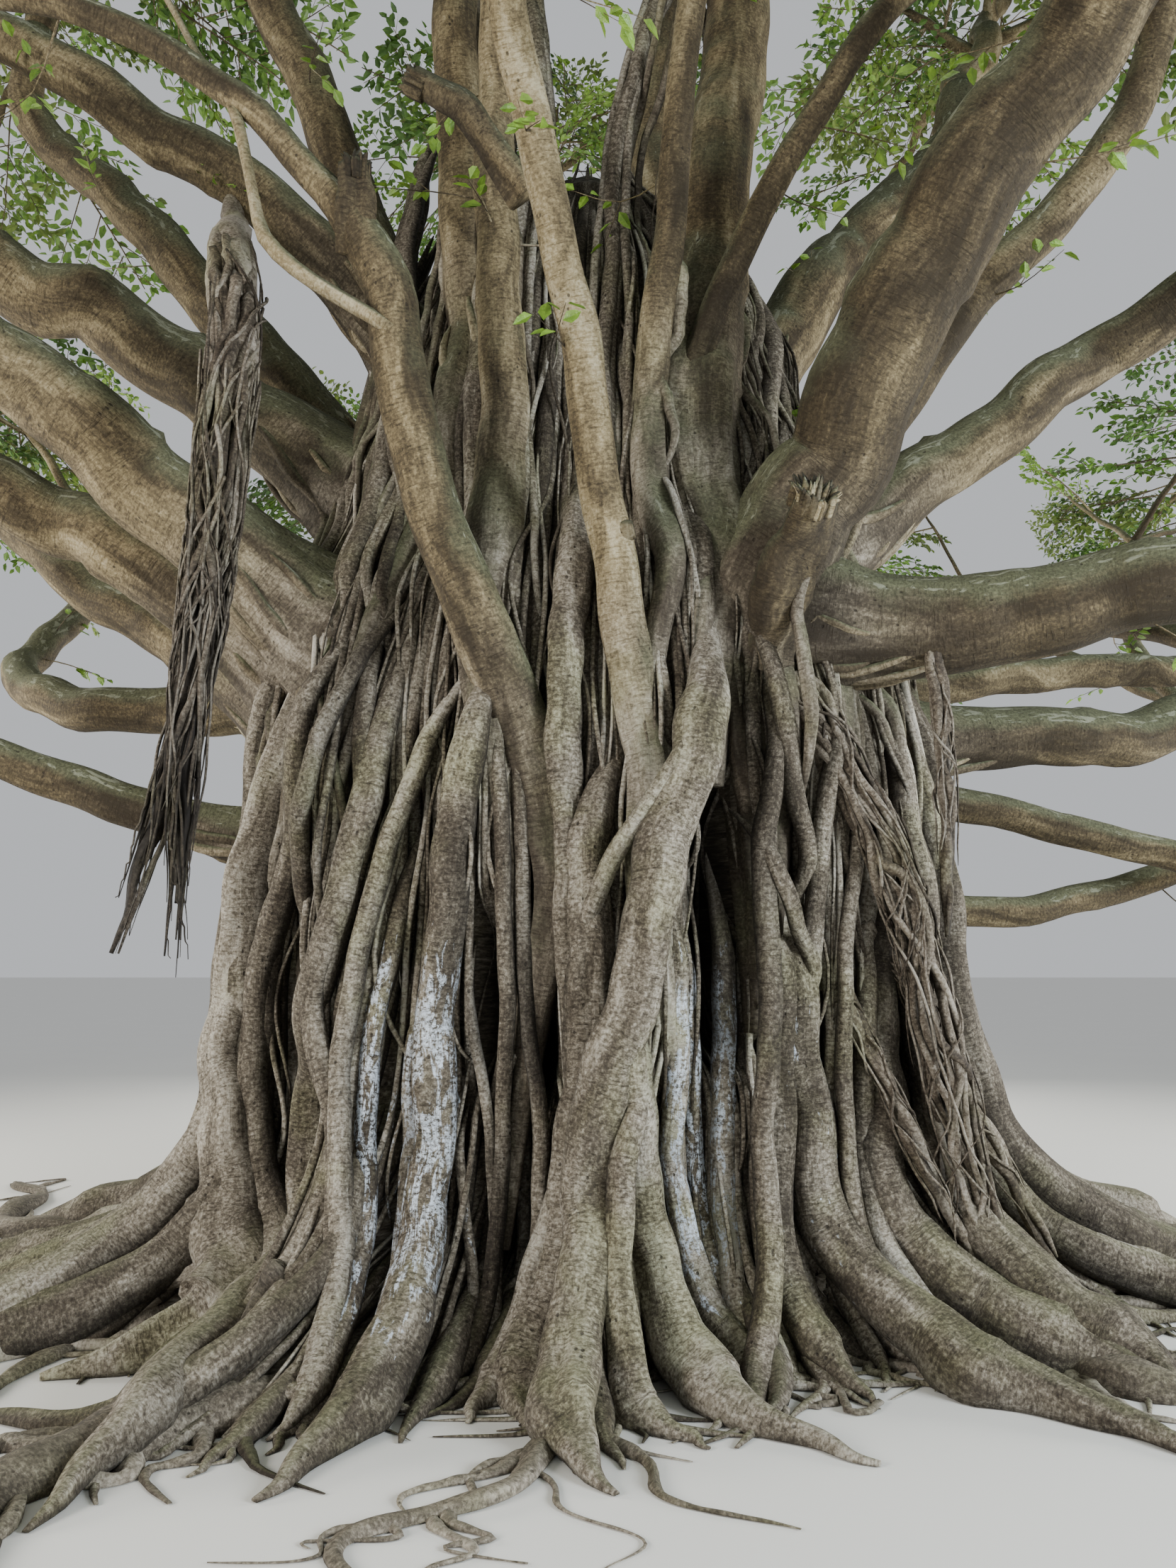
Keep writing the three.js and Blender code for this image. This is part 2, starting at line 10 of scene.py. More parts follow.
import bpy
import numpy as np
from bpy.props import FloatProperty, FloatVectorProperty, IntProperty, PointerProperty
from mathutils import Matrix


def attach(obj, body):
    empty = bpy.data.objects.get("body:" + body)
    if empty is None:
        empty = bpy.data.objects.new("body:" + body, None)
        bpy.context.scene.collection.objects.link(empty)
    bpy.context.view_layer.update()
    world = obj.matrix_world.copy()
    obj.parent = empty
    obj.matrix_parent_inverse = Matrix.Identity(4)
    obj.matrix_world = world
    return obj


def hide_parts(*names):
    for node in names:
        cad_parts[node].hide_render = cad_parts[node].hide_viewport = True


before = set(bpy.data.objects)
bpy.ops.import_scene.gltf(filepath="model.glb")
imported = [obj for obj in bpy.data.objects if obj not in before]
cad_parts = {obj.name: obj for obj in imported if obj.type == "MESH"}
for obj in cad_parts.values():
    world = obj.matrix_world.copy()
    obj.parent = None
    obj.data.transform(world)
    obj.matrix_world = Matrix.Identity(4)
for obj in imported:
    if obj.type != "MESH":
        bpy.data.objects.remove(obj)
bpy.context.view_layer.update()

bl_info = {
    "name": "Banyan Tree",
    "version": (1, 0, 0),
    "blender": (4, 5, 0),
    "location": "3D View > Sidebar > Banyan",
    "description": "Grows the bark, roots, boughs, twigs and leaves of a banyan tree",
    "category": "Add Mesh",
}

# Driving dimensions, as in the solids
TRUNK_WIDTH = 3.64  # across, at breast height
TRUNK_DEPTH = 3.00  # front to back, at breast height
BREAST_HEIGHT = 1.6
SHOULDER_HEIGHT = 3.3  # where the lowest big boughs leave the trunk
FORK_HEIGHT = 6.1  # where the trunk ends among its leaders
CROWN_REACH = 7.9  # from the trunk's axis to the middle of the lowest masses
CROWN_HEIGHT = 11.4  # of the middle of the topmost masses
SPRAY_LENGTH = 1.95
SPRAY_WIDTH = 1.25
SPRAY_THICKNESS = 0.42
GOLDEN_ANGLE = 137.5
GAP = 0.0003  # between a bough's tip and the stem that goes on from it

UP = np.array([0.0, 0.0, 1.0])

# Trunk: half-width and half-depth of its plan at each height, as shares of those at breast height
TRUNK_HEIGHTS = np.array([0.0, 0.7, BREAST_HEIGHT, 2.6, SHOULDER_HEIGHT, 4.0, 5.0, FORK_HEIGHT])
TRUNK_SHARES = np.array([1.02, 0.97, 1.0, 0.99, 0.94, 0.78, 0.66, 0.58])

# The fused roots that stand out of the trunk as legs: azimuth at the foot and at the shoulder, width in
# degrees, reach of the foot over the ground, and how far the ridge stands proud.
LEGS = [
    (270, 287, 9, 0.38, 0.15),
    (249, 253, 8, 0.23, 0.08),
    (238, 222, 11, 0.95, 0.17),
    (206, 204, 10, 0.90, 0.09),
    (188, 192, 9, 0.62, 0.09),
    (162, 170, 11, 1.05, 0.11),
    (138, 144, 10, 0.62, 0.09),
    (112, 110, 11, 0.80, 0.12),
    (86, 88, 9, 0.56, 0.08),
    (62, 66, 11, 0.90, 0.13),
    (36, 40, 9, 0.64, 0.09),
    (12, 16, 12, 1.35, 0.09),
    (349, 352, 11, 1.15, 0.10),
    (327, 330, 9, 0.70, 0.09),
    (312, 314, 8, 0.18, 0.11),
    (295, 301, 7, 0.24, 0.11),
]
FLARE_HEIGHT = 0.52
FRONT_LEGS = (228, 318)  # legs between these azimuths have the named roots of the front
CORE_DEPTH = 0.15  # the inner skin lies this far behind the trunk's own

# Layers of strands on the trunk: highest point, how far they stand proud, thinnest and thickest, the share of
# neighbours that meet at a height, rings, sides, the share that starts above the ground, darkest and lightest
# tint, and how many degrees they lean in each metre of height
STRAND_LAYERS = {
    "inner": (6.2, -0.10, (0.022, 0.055), 0.5, 70, 6, 0.1, (0.1, 0.5), 0.0),
    "outer": (6.3, -0.03, (0.017, 0.058), 0.6, 78, 8, 0.2, (0.2, 0.8), 0.0),
    "thin": (5.9, 0.02, (0.007, 0.02), 0.7, 66, 5, 0.5, (0.3, 1.0), 1.2),
    "slanting": (5.6, 0.04, (0.012, 0.03), 0.5, 66, 6, 0.5, (0.3, 1.0), -2.6),
}

# The trunk's two sides: first seed, first azimuth, span, share of the strands, and of the rings on each
TRUNK_SIDES = {"front": (1, 176, 190, 0.62, 1.0), "back": (11, 6, 170, 0.38, 0.66)}
TOE_SHARES = (0.16, 0.5)  # how far a strand goes on over the ground
TOUCH_HEIGHT = 0.12  # a strand that ends lower than this reaches the ground
EASING_PASSES = 26
WAY_STEPS = 170  # points along a strand before they are spaced evenly

# Dark clefts between the fused roots: azimuth, lowest and highest point, half-width in degrees, depth
CLEFTS = [
    (261.5, 0.90, 2.45, 2.8, 0.42),
    (252.6, 1.00, 1.95, 1.8, 0.34),
    (257.0, 0.15, 1.05, 4.2, 0.30),
    (293.5, 1.05, 3.05, 3.6, 0.40),
    (282.5, 0.30, 1.05, 1.6, 0.30),
    (243.5, 0.25, 1.20, 2.2, 0.26),
    (284.0, 3.70, 4.25, 1.8, 0.35),
    (301.0, 0.25, 0.80, 1.2, 0.22),
    (323.5, 0.85, 2.05, 3.0, 0.28),
    (218.0, 3.35, 4.40, 2.2, 0.24),
    (240.0, 3.60, 4.60, 2.4, 0.22),
    (270.0, 3.20, 4.10, 1.4, 0.18),
    (20.0, 0.70, 2.40, 2.6, 0.32),
    (52.0, 1.10, 2.70, 2.4, 0.30),
    (98.0, 0.60, 2.30, 3.0, 0.36),
    (125.0, 1.00, 2.60, 2.2, 0.28),
    (152.0, 0.80, 2.50, 2.4, 0.30),
    (178.0, 0.70, 2.20, 2.0, 0.26),
    (340.0, 0.90, 2.40, 2.4, 0.30),
]

# Roots with a place of their own on the front: radius at the top and at the foot, how pale their flakes are,
# how far they stand proud, and their way down as azimuth and height.
FRONT_ROOTS = {
    "edge_left": (0.045, 0.065, 0.0, 0.02, [
        (201, 3.3), (197, 2.6), (194, 2.0), (193, 1.4), (199, 0.9), (208, 0.5), (216, 0.1)]),
    "big_left": (0.085, 0.185, 0.0, 0.05, [
        (214, 3.3), (210, 2.7), (206, 2.0), (205, 1.4), (208, 0.9), (212, 0.5), (222, 0.08)]),
    "orange_left": (0.07, 0.055, 0.0, 0.06, [(205, 3.2), (203, 2.9), (199, 2.5), (196, 2.1), (194, 1.7)]),
    "cross_left": (0.055, 0.085, 0.0, 0.10, [
        (227, 3.4), (224, 2.9), (220, 2.4), (214, 1.9), (211, 1.5), (211, 1.0), (217, 0.5), (232, 0.1)]),
    "slant_left": (0.045, 0.045, 0.0, 0.10, [(233, 3.4), (229, 2.9), (226, 2.4), (220, 2.0), (214, 1.7)]),
    "grey_left": (0.05, 0.05, 0.0, 0.05, [(228, 3.4), (231, 2.8), (232, 2.4), (233, 2.1), (231, 1.7)]),
    "wide_left": (0.07, 0.09, 0.0, 0.06, [
        (234, 3.4), (234, 2.7), (232, 2.0), (229, 1.4), (220, 0.9), (222, 0.5), (238, 0.1)]),
    "lattice_left": (0.05, 0.06, 0.0, 0.08, [
        (229, 2.3), (232, 1.8), (230, 1.4), (235, 1.0), (239, 0.6), (243, 0.2)]),
    "slant_middle": (0.045, 0.055, 0.3, 0.10, [
        (248, 3.0), (244, 2.7), (239, 2.3), (236, 1.9), (235, 1.4), (236, 1.0), (239, 0.6), (245, 0.1)]),
    "pale_leg": (0.075, 0.10, 1.0, 0.08, [
        (254, 3.1), (252, 2.7), (249, 2.2), (247, 1.8), (246, 1.3), (246, 0.9), (248, 0.45), (250, 0.04)]),
    "pale_side": (0.05, 0.05, 1.0, 0.04, [
        (239, 2.3), (238, 1.8), (237, 1.3), (238, 0.9), (241, 0.5), (245, 0.1)]),
    "pale_inner": (0.035, 0.04, 0.9, 0.02, [(241, 1.5), (241, 1.1), (243, 0.7), (247, 0.1)]),
    "pale_fork": (0.032, 0.04, 1.0, 0.05, [(246, 1.2), (243, 0.9), (244, 0.55), (248, 0.1)]),
    "thin_pale": (0.024, 0.026, 0.5, 0.03, [(250, 1.7), (252, 1.3), (254, 0.95), (255, 0.6), (257, 0.1)]),
    "thin_pale_right": (0.022, 0.026, 0.7, 0.02, [(249, 1.0), (251, 0.65), (253, 0.4), (255, 0.1)]),
    "thin_middle": (0.034, 0.036, 0.4, 0.05, [
        (254, 3.0), (255, 2.5), (256, 2.0), (257, 1.5), (256, 1.0), (256, 0.5), (255, 0.05)]),
    "dark_middle": (0.034, 0.038, 0.3, 0.04, [
        (257, 3.0), (258, 2.4), (259, 1.9), (260, 1.4), (262, 0.9), (262, 0.4), (260, 0.05)]),
    "back_middle": (0.03, 0.03, 0.0, -0.12, [(258, 2.2), (259, 1.6), (258, 1.0), (258, 0.5), (258, 0.05)]),
    "stem_middle": (0.10, 0.055, 0.0, 0.06, [
        (268, 4.2), (267, 3.5), (266, 2.9), (266, 2.3), (267, 1.8), (268, 1.3), (268, 1.0)]),
    "centre_left": (0.085, 0.105, 0.22, 0.12, [
        (276, 2.6), (272, 2.3), (270, 1.9), (270, 1.5), (270, 1.1), (268, 0.7), (266, 0.35), (262, 0.03)]),
    "centre_leg": (0.105, 0.104, 0.0, 0.17, [
        (294, 3.3), (290, 2.9), (285, 2.5), (281, 2.1), (277, 1.6), (273, 1.2), (270, 0.8), (269, 0.4),
        (268, 0.05)]),
    "centre_join": (0.04, 0.04, 0.0, 0.20, [
        (288, 2.8), (284, 2.55), (280, 2.35), (276, 2.15), (272, 1.95), (269, 1.7), (268, 1.4)]),
    "centre_foot": (0.10, 0.105, 0.3, 0.10, [
        (275, 1.5), (276, 1.2), (277, 0.9), (278, 0.55), (280, 0.25), (283, 0.03)]),
    "blue_foot": (0.05, 0.065, 1.0, 0.02, [
        (282, 2.0), (284, 1.6), (285, 1.2), (284, 0.8), (286, 0.45), (290, 0.04)]),
    "streaked_foot": (0.04, 0.05, 1.0, -0.04, [(286, 2.0), (288, 1.4), (289, 0.9), (290, 0.5), (291, 0.05)]),
    "back_foot": (0.05, 0.06, 0.95, -0.02, [(293, 2.1), (293, 1.5), (293, 1.0), (292, 0.5), (291, 0.04)]),
    "long_right": (0.045, 0.06, 0.25, 0.10, [
        (303, 3.2), (300, 2.6), (297, 2.1), (297, 1.5), (296, 1.0), (295, 0.55), (292, 0.2), (288, 0.02)]),
    "short_right": (0.05, 0.045, 0.0, 0.12, [
        (299, 3.3), (300, 2.9), (302, 2.5), (305, 2.2), (306, 2.0), (305, 1.7)]),
    "twisted_right": (0.036, 0.034, 0.0, 0.13, [(296, 2.3), (298, 2.0), (302, 1.8), (306, 1.6), (307, 1.3)]),
    "fork_right": (0.045, 0.05, 0.0, 0.09, [(314, 2.9), (311, 2.5), (308, 2.0), (306, 1.5), (305, 1.1)]),
    "pale_right": (0.07, 0.13, 0.62, 0.06, [
        (306, 2.0), (305, 1.6), (306, 1.2), (307, 0.85), (308, 0.5), (309, 0.2), (310, 0.03)]),
    "side_right": (0.06, 0.085, 0.5, 0.04, [(303, 1.9), (302, 1.5), (301, 1.0), (300, 0.55), (298, 0.1)]),
    "straight_right": (0.036, 0.042, 0.1, 0.07, [
        (322, 2.8), (317, 2.3), (312, 1.8), (311, 1.3), (311, 0.8), (311, 0.3), (313, 0.05)]),
    "outer_right": (0.05, 0.055, 0.1, 0.06, [
        (325, 2.7), (323, 2.2), (319, 1.7), (316, 1.2), (317, 0.8), (314, 0.35), (315, 0.05)]),
    "last_right": (0.034, 0.034, 0.0, 0.05, [
        (326, 2.4), (324, 2.0), (322, 1.4), (323, 1.0), (322, 0.6), (324, 0.2)]),
}

THICK_GIRTH = 0.09  # a root at least so thick is made with finer rings and deeper creases

# Roots that part from a leg just above the ground, given in the same way
FOOT_ROOTS = {
    "centre_leg_left": (0.045, 0.072, 0.0, 0.17, [
        (276, 1.5), (271, 1.15), (267, 0.8), (264, 0.45), (261, 0.15), (259, 0.03)]),
    "centre_leg_right": (0.045, 0.068, 0.0, 0.18, [
        (279, 1.3), (276, 1.0), (274, 0.7), (273, 0.4), (274, 0.15), (275, 0.03)]),
    "left_leg_toe": (0.045, 0.076, 0.0, 0.06, [
        (237, 1.0), (239, 0.65), (239.5, 0.38), (238, 0.16), (234.5, 0.03)]),
}

# Stems high up on the front, each a sheaf of roots, given in the same way
STEMS = {
    "mossy_stem": (0.13, 0.10, 0.0, 0.06, [
        (193, 6.5), (196, 6.1), (205, 5.4), (213, 4.8), (222, 4.2), (224, 3.8), (226, 3.3), (228, 2.9)]),
    "brown_stem": (0.10, 0.07, 0.0, 0.05, [
        (233, 7.9), (241, 7.3), (250, 6.7), (253, 6.1), (250, 5.4), (250, 4.7), (253, 4.2), (255, 3.8),
        (257, 3.3), (258, 2.9)]),
    "pitted_stem": (0.10, 0.08, 0.0, 0.10, [
        (230, 7.5), (233, 6.8), (238, 6.1), (240, 5.4), (241, 4.8), (243, 4.2), (245, 3.7), (248, 3.2),
        (250, 2.8)]),
    "grey_stem": (0.13, 0.09, 0.0, 0.02, [
        (324, 7.4), (326, 6.7), (322, 6.1), (314, 5.2), (304, 4.5), (294, 3.9), (290, 3.4), (288, 3.0)]),
    "right_stem": (0.14, 0.08, 0.0, 0.02, [(338, 5.6), (329, 4.8), (314, 4.0), (308, 3.5), (305, 3.0)]),
    "left_stem": (0.15, 0.09, 0.0, 0.03, [(186, 6.0), (194, 5.0), (202, 4.2), (206, 3.6), (208, 3.0)]),
    "top_stem": (0.09, 0.07, 0.0, 0.04, [
        (326, 8.1), (308, 7.5), (290, 6.8), (281, 6.1), (278, 5.4), (276, 4.8), (275, 4.2), (274, 3.6),
        (272, 3.1)]),
}

# Crown: its tiers of masses, with first azimuth, distance and height, then each mass's half-sizes through,
# across and deep, which make an ellipsoid of space
TIERS = [
    ("low", 9, 350.0, CROWN_REACH, 6.3, (3.3, 3.3, 2.3)),
    ("mid", 6, 335.0, 5.0, 9.1, (2.9, 3.0, 2.2)),
    ("top", 3, 60.0, 1.75, CROWN_HEIGHT, (2.5, 2.7, 1.85)),
]
BORDER = 0.05  # kept between the spaces of neighbouring masses, as a share of their size

# Boughs: azimuth, height, heading, climb, turn, rise, run, girth, the mass it enters, and how far aside
BOUGHS = {
    "bough_left_front": (213, 3.20, 202, 36, 0, 0, 2.0, 0.245, "low_7", 0),
    "bough_left": (198, 3.14, 190, 34, 0, -8, 1.7, 0.225, "low_6", 0),
    "bough_left_back": (175, 2.96, 167, 33, -5, 0, 2.1, 0.190, "low_5", 0),
    "bough_left_high": (188, 4.18, 182, 40, 12, -16, 2.5, 0.250, "mid_5", 0),
    "bough_left_back_high": (166, 4.30, 167, 53, 0, -8, 4.3, 0.215, "mid_4", 0),
    "leader_left": (232, 4.50, 225, 86, 0, 0, 2.6, 0.150, "top_2", 0),
    "bough_right_front": (306, 3.30, 325, 60, -9, -12, 2.7, 0.280, "low_9", 0),
    "bough_right": (317, 3.26, 342, -12, 3, 28, 1.7, 0.235, "low_1", 0),
    "bough_right_arched": (318, 3.48, 358, 66, -10, -24, 2.4, 0.140, "mid_1", 0),
    "bough_right_level": (2, 2.86, 6, 3, 0, 0, 1.7, 0.190, "low_2", 0),
    "bough_right_back": (32, 3.30, 8, 6, 0, 0, 3.0, 0.130, "low_3", 0),
    "bough_back_right": (30, 4.75, 34, 66, -14, -24, 3.4, 0.285, "mid_2", 0),
    "bough_back_high": (90, 4.50, 92, 52, 0, 0, 2.2, 0.220, "mid_3", 0),
    "bough_back": (108, 3.20, 108, 30, 0, 0, 1.8, 0.230, "low_4", 0),
    "bough_front": (280, 2.40, 222, 83, 20, -20, 3.0, 0.105, "low_8", 0),
    "bough_front_upright": (251, 3.53, 228, 88, 0, 0, 2.7, 0.125, "mid_6", 0),
    "leader_right": (300, 4.40, 44, 80, 0, 0, 2.5, 0.235, "top_3", 0),
    "leader_back": (70, 5.20, 60, 80, 0, 0, 1.5, 0.240, "top_1", 0),
    "side_bough_front_left": (263, 2.42, 209, 58, 0, 21, 2.5, 0.135, "low_7", 62),
    "side_bough_left_low": (192, 2.24, 180, 12, 11, 7, 1.3, 0.120, "low_6", -40),
    "side_bough_left_level": (162, 3.12, 168, 4, 0, 0, 1.9, 0.165, "low_5", 40),
    "side_bough_left_steep": (200, 5.00, 200, 48, -10, -24, 2.3, 0.178, "mid_5", 45),
    "side_bough_left_upright": (196, 5.00, 180, 72, 0, -6, 2.6, 0.175, "top_2", 60),
    "side_bough_right_high": (347, 3.85, 9, 37, 0, 0, 2.3, 0.200, "low_1", 45),
    "side_bough_right_low": (29, 2.82, 0, -13, 0, 0, 2.8, 0.115, "low_2", -45),
    "side_bough_right_drooping": (36, 2.08, 8, -14, 0, 36, 2.9, 0.108, "low_3", 40),
    "side_bough_front_upright": (284, 3.96, 307, 80, 0, 0, 2.3, 0.090, "top_3", 40),
    "side_bough_front_thin": (293, 4.23, 322, 68, 12, -20, 2.2, 0.082, "mid_1", -50),
}
RUN_STEPS = 4
ENTRY = 0.62  # where a bough enters its mass, as a share of the mass's half-size
SIDE_ENTRY = 0.72
FOOT_DEPTH = 0.42  # how far a bough starts inside the trunk
BOUGH_STEPS = 320  # steps of a bough's curve
STEEP = 50  # a bough that climbs more than this starts as a root on the trunk's skin

# How light the bark of a bough is, where it isn't 0.35: partly its own tone and partly painted light and
# shade by how lit each bough is, dark for bough_right_front, whose underside lies in shade
BOUGH_TINTS_AND_SHADE = {
    "bough_front": 0.72,
    "side_bough_front_left": 0.30,
    "bough_front_upright": 0.55,
    "side_bough_front_upright": 0.45,
    "bough_left_front": 0.5,
    "bough_left": 0.45,
    "leader_left": 0.5,
    "leader_right": 0.45,
    "bough_right_front": 0.08,
    "bough_right": 0.1,
    "side_bough_left_low": 0.1,
    "bough_right_level": 0.15,
}
TIP_SHARE = 0.5  # a bough's girth at its end

# Boughs that stand bare in front of the trunk, with no roots at their feet
BARE_BOUGHS = (
    "bough_front", "bough_right_front", "side_bough_front_thin", "side_bough_front_left",
    "side_bough_front_upright", "bough_front_upright", "leader_right",
)

# Boughs that lost their thick end: where on the curve, and the share of the girth that goes on
BROKEN_BOUGHS = {"side_bough_front_left": (112, 0.62)}

# Broken stubs, thin roots and branches that leave a bough: places, girths, tint, young and shade at both ends
STUBS = {
    "broken_left": (
        [(-1.04, -1.74, 4.74), (-1.03, -1.83, 4.93), (-1.03, -1.86, 5.09)],
        (0.07, 0.075, 0.062), 0.3, (1, 1, 0.1, 0.8)),
    "broken_right": (
        [(0.80, -1.26, 2.98), (0.89, -1.46, 3.28), (0.95, -1.61, 3.49), (0.985, -1.74, 3.61)],
        (0.13, 0.115, 0.105, 0.095), 0.3, (0.3, 1, 0.1, 0.5)),
    "broken_front": (
        [(-0.30, -1.62, 5.10), (-0.57, -1.75, 5.46), (-0.80, -1.77, 5.58)],
        (0.07, 0.062, 0.05), 0.5, (1, 1, 0, 0.6)),
    "knot": (
        [(0.09, -1.55, 3.48), (0.17, -1.61, 3.50), (0.205, -1.62, 3.505)],
        (0.06, 0.052, 0.042), 0.7, (1, 1, 0, 0.7)),
    "root_right": (
        [(1.05, -1.66, 3.60), (1.00, -1.56, 3.38), (0.93, -1.52, 3.16), (0.955, -1.53, 2.93),
         (0.985, -1.50, 2.62), (0.95, -1.36, 2.30)],
        (0.006, 0.016, 0.030, 0.034, 0.030, 0.010), 0.45, (0, 0, 0.1, 0)),
    "mossy_branch": (
        [(-0.86, -1.78, 4.36), (-1.38, -1.90, 4.68), (-1.48, -1.88, 4.99), (-1.60, -1.86, 5.41),
         (-1.75, -1.8, 5.65), (-2.1, -1.7, 6.3)],
        (0.036, 0.034, 0.028, 0.026, 0.020, 0.012), 0.9, (1, 1, 0, 0)),
}
STUB_FACING = (0.3, -1.0, 0.2)

# How light the splintered ends are
SPLINTERED = {"broken_left": 0.1, "broken_right": 1.0, "broken_front": 0.4}
SHARDS = 60  # on each splintered end

# Boughs that drop thin roots on to the trunk
DROPPING = (
    "leader_left", "leader_right", "leader_back", "bough_front_upright", "side_bough_front_upright",
    "side_bough_left_upright",
)

# Foliage
BRANCHES = 5  # on each stem
SPRAYS = 4  # on each branch
BRANCH_LEAN = 50.0  # how far a branch leans away from its stem, and a spray from its branch
SPRAY_LEAN = 58.0
SPRAY_ROLL = 60.0
FILL_SPRAYS = 4  # sprays added on each branch between the solids' own
FILL_SCALE = 0.8
BARK_ROOM = 0.06  # kept between sprays and the bark of boughs

# Hanging and propping roots: top, bend and foot as azimuth, distance and height, then thickest and thinnest
AERIAL_ROOTS = {
    "aerial_root_left": ((207, 2.13, 5.64), (229, 2.37, 4.25), (226, 2.52, 1.56), 0.175, 0.070),
    "aerial_root_right": ((321, 2.06, 3.10), (322, 2.08, 2.40), (322, 2.06, 1.72), 0.058, 0.042),
    "prop_root_twisted": ((309, 1.56, 2.95), (317, 1.91, 1.95), (327, 2.08, 0.22), 0.095, 0.062),
    "prop_root_straight": ((312, 1.62, 1.62), (318, 1.90, 0.85), (325, 2.12, 0.20), 0.052, 0.044),
    "prop_root_outer": ((319, 1.70, 1.80), (330, 2.01, 0.99), (338, 2.33, 0.25), 0.058, 0.048),
}

HUNG_AT = 107  # the step of its bough's curve that the big hanging root hangs from

# How dark their feet are
PROP_SHADES = {
    "aerial_root_right": 0.5,
    "prop_root_twisted": 0.25,
    "prop_root_straight": 0.1,
    "prop_root_outer": 0.1,
}

# Surface roots: azimuth, length, girth, sway
SURFACE_ROOTS = {
    "surface_root_front": (266, 1.5, 0.12, 8),
    "surface_root_front_left": (240, 1.9, 0.19, -12),
    "surface_root_left": (207, 1.9, 0.16, 10),
    "surface_root_left_back": (162, 2.1, 0.17, 14),
    "surface_root_back": (112, 2.0, 0.16, -12),
    "surface_root_back_right": (62, 2.1, 0.17, 12),
    "surface_root_right_back": (9, 2.2, 0.18, -10),
    "surface_root_right_front": (324, 1.9, 0.14, -12),
}

TWIG_TRIANGLES = 190000  # a piece of twigs is closed before it has more
MOST_TRIANGLES = 199000  # the most that one piece may have

# Stage: the camera's place, how far it looks up, its focal length and sensor in millimetres, and the floor
EYE = (0.0, -6.6, 1.6)
CAMERA_RISE = 8.7
LENS = 27.05
SENSOR = 36.0
FLOOR_HALF = 140.0
FLOOR_HEIGHT = -0.004
SKY_COLOUR = (0.93, 0.96, 1.0, 1)

# Lamps: place, share of the power, colour
LAMPS = {
    "lamp_front_left": ((-7.4, -7.8, 3.6), 2.1, (1.0, 0.96, 0.90)),
    "lamp_front_right": ((7.6, -7.2, 3.4), 3.2, (0.88, 0.95, 1.0)),
    "lamp_left": ((-10.5, 1.5, 3.4), 1.7, (1.0, 0.97, 0.9)),
    "lamp_right": ((10.5, 1.5, 3.4), 1.7, (1.0, 0.98, 0.93)),
    "lamp_back": ((0.5, 10.5, 3.6), 1.7, (1.0, 0.98, 0.94)),
}
LAMP_WIDTH = 3.4
LAMP_AIM = (0, 0, 2.4)


# Numbers and directions


def chance(n):
    """A repeatable number from 0 to 1 for each n: the fraction of a large sine."""
    wave = np.sin(np.asarray(n, float) * 12.9898 + 4.1414) * 43758.5453
    return wave - np.floor(wave)


def direction(heading, climb):
    """The unit vector with this heading, climbing at this angle."""
    h, c = np.radians(heading), np.radians(climb)
    return np.stack(np.broadcast_arrays(np.cos(c) * np.cos(h), np.cos(c) * np.sin(h), np.sin(c)), -1)


def polar(azimuth, distance, height):
    """The point at a distance from the trunk's axis, at an azimuth and a height."""
    a = np.radians(azimuth)
    return np.stack(np.broadcast_arrays(distance * np.cos(a), distance * np.sin(a), height), -1)


def turn_between(start, end):
    """The smallest turn from one azimuth to another, from -180 to 180."""
    return np.mod(np.mod(np.asarray(end) - start, 360) + 540, 360) - 180


def unit(vectors):
    """Vectors scaled to length one."""
    return vectors / np.maximum(np.linalg.norm(vectors, axis=-1, keepdims=True), 1e-12)


def turned(vector, axis, angle):
    """A vector turned about a unit axis by degrees: v cos + (axis x v) sin + axis (axis.v)(1 - cos)."""
    a = math.radians(angle)
    return (
        vector * math.cos(a)
        + np.cross(axis, vector) * math.sin(a)
        + axis * np.dot(axis, vector) * (1 - math.cos(a))
    )


def bell(middle, azimuth, width):
    """A bell curve round an azimuth: 1 there, and e times less at a width in degrees."""
    return np.exp(-((turn_between(middle, azimuth) / width) ** 2))


def angles_of(sides):
    """The angles of a ring's corners."""
    return np.arange(sides) / sides * 2 * np.pi


def window(values, low, high, edge):
    """1 between low and high and 0 outside, with a smooth step of width edge at both ends."""
    rise = np.clip((values - low) / edge, 0, 1)
    fall = np.clip((high - values) / edge, 0, 1)
    return rise * rise * (3 - 2 * rise) * fall * fall * (3 - 2 * fall)


# Trunk


def trunk_share(height):
    """Share of the trunk's plan at a height: a smooth step between the listed shares."""
    height = np.clip(height, 0, FORK_HEIGHT)
    i = np.clip(np.searchsorted(TRUNK_HEIGHTS, height), 1, len(TRUNK_HEIGHTS) - 1)
    t = (height - TRUNK_HEIGHTS[i - 1]) / (TRUNK_HEIGHTS[i] - TRUNK_HEIGHTS[i - 1])
    return TRUNK_SHARES[i - 1] + (TRUNK_SHARES[i] - TRUNK_SHARES[i - 1]) * t * t * (3 - 2 * t)


def trunk_radius(azimuth, height):
    """How far the trunk's skin is from its axis: an ellipse, pinched and swollen with height, plus legs."""
    azimuth, height = np.broadcast_arrays(np.asarray(azimuth, float), np.asarray(height, float))
    share = trunk_share(height)
    a = np.radians(azimuth)
    radius = share / np.hypot(np.cos(a) / (TRUNK_WIDTH / 2), np.sin(a) / (TRUNK_DEPTH / 2)) - 0.06
    rise = np.minimum(1, height / SHOULDER_HEIGHT)
    for foot, top, width, reach, ridge in LEGS:
        off = turn_between(foot + turn_between(foot, top) * rise, azimuth) / width
        flare = reach * np.exp(-height / FLARE_HEIGHT)
        radius = radius + flare * np.exp(-off * off * 1.5) + ridge * share * np.exp(-off * off * 2.5)
    return radius


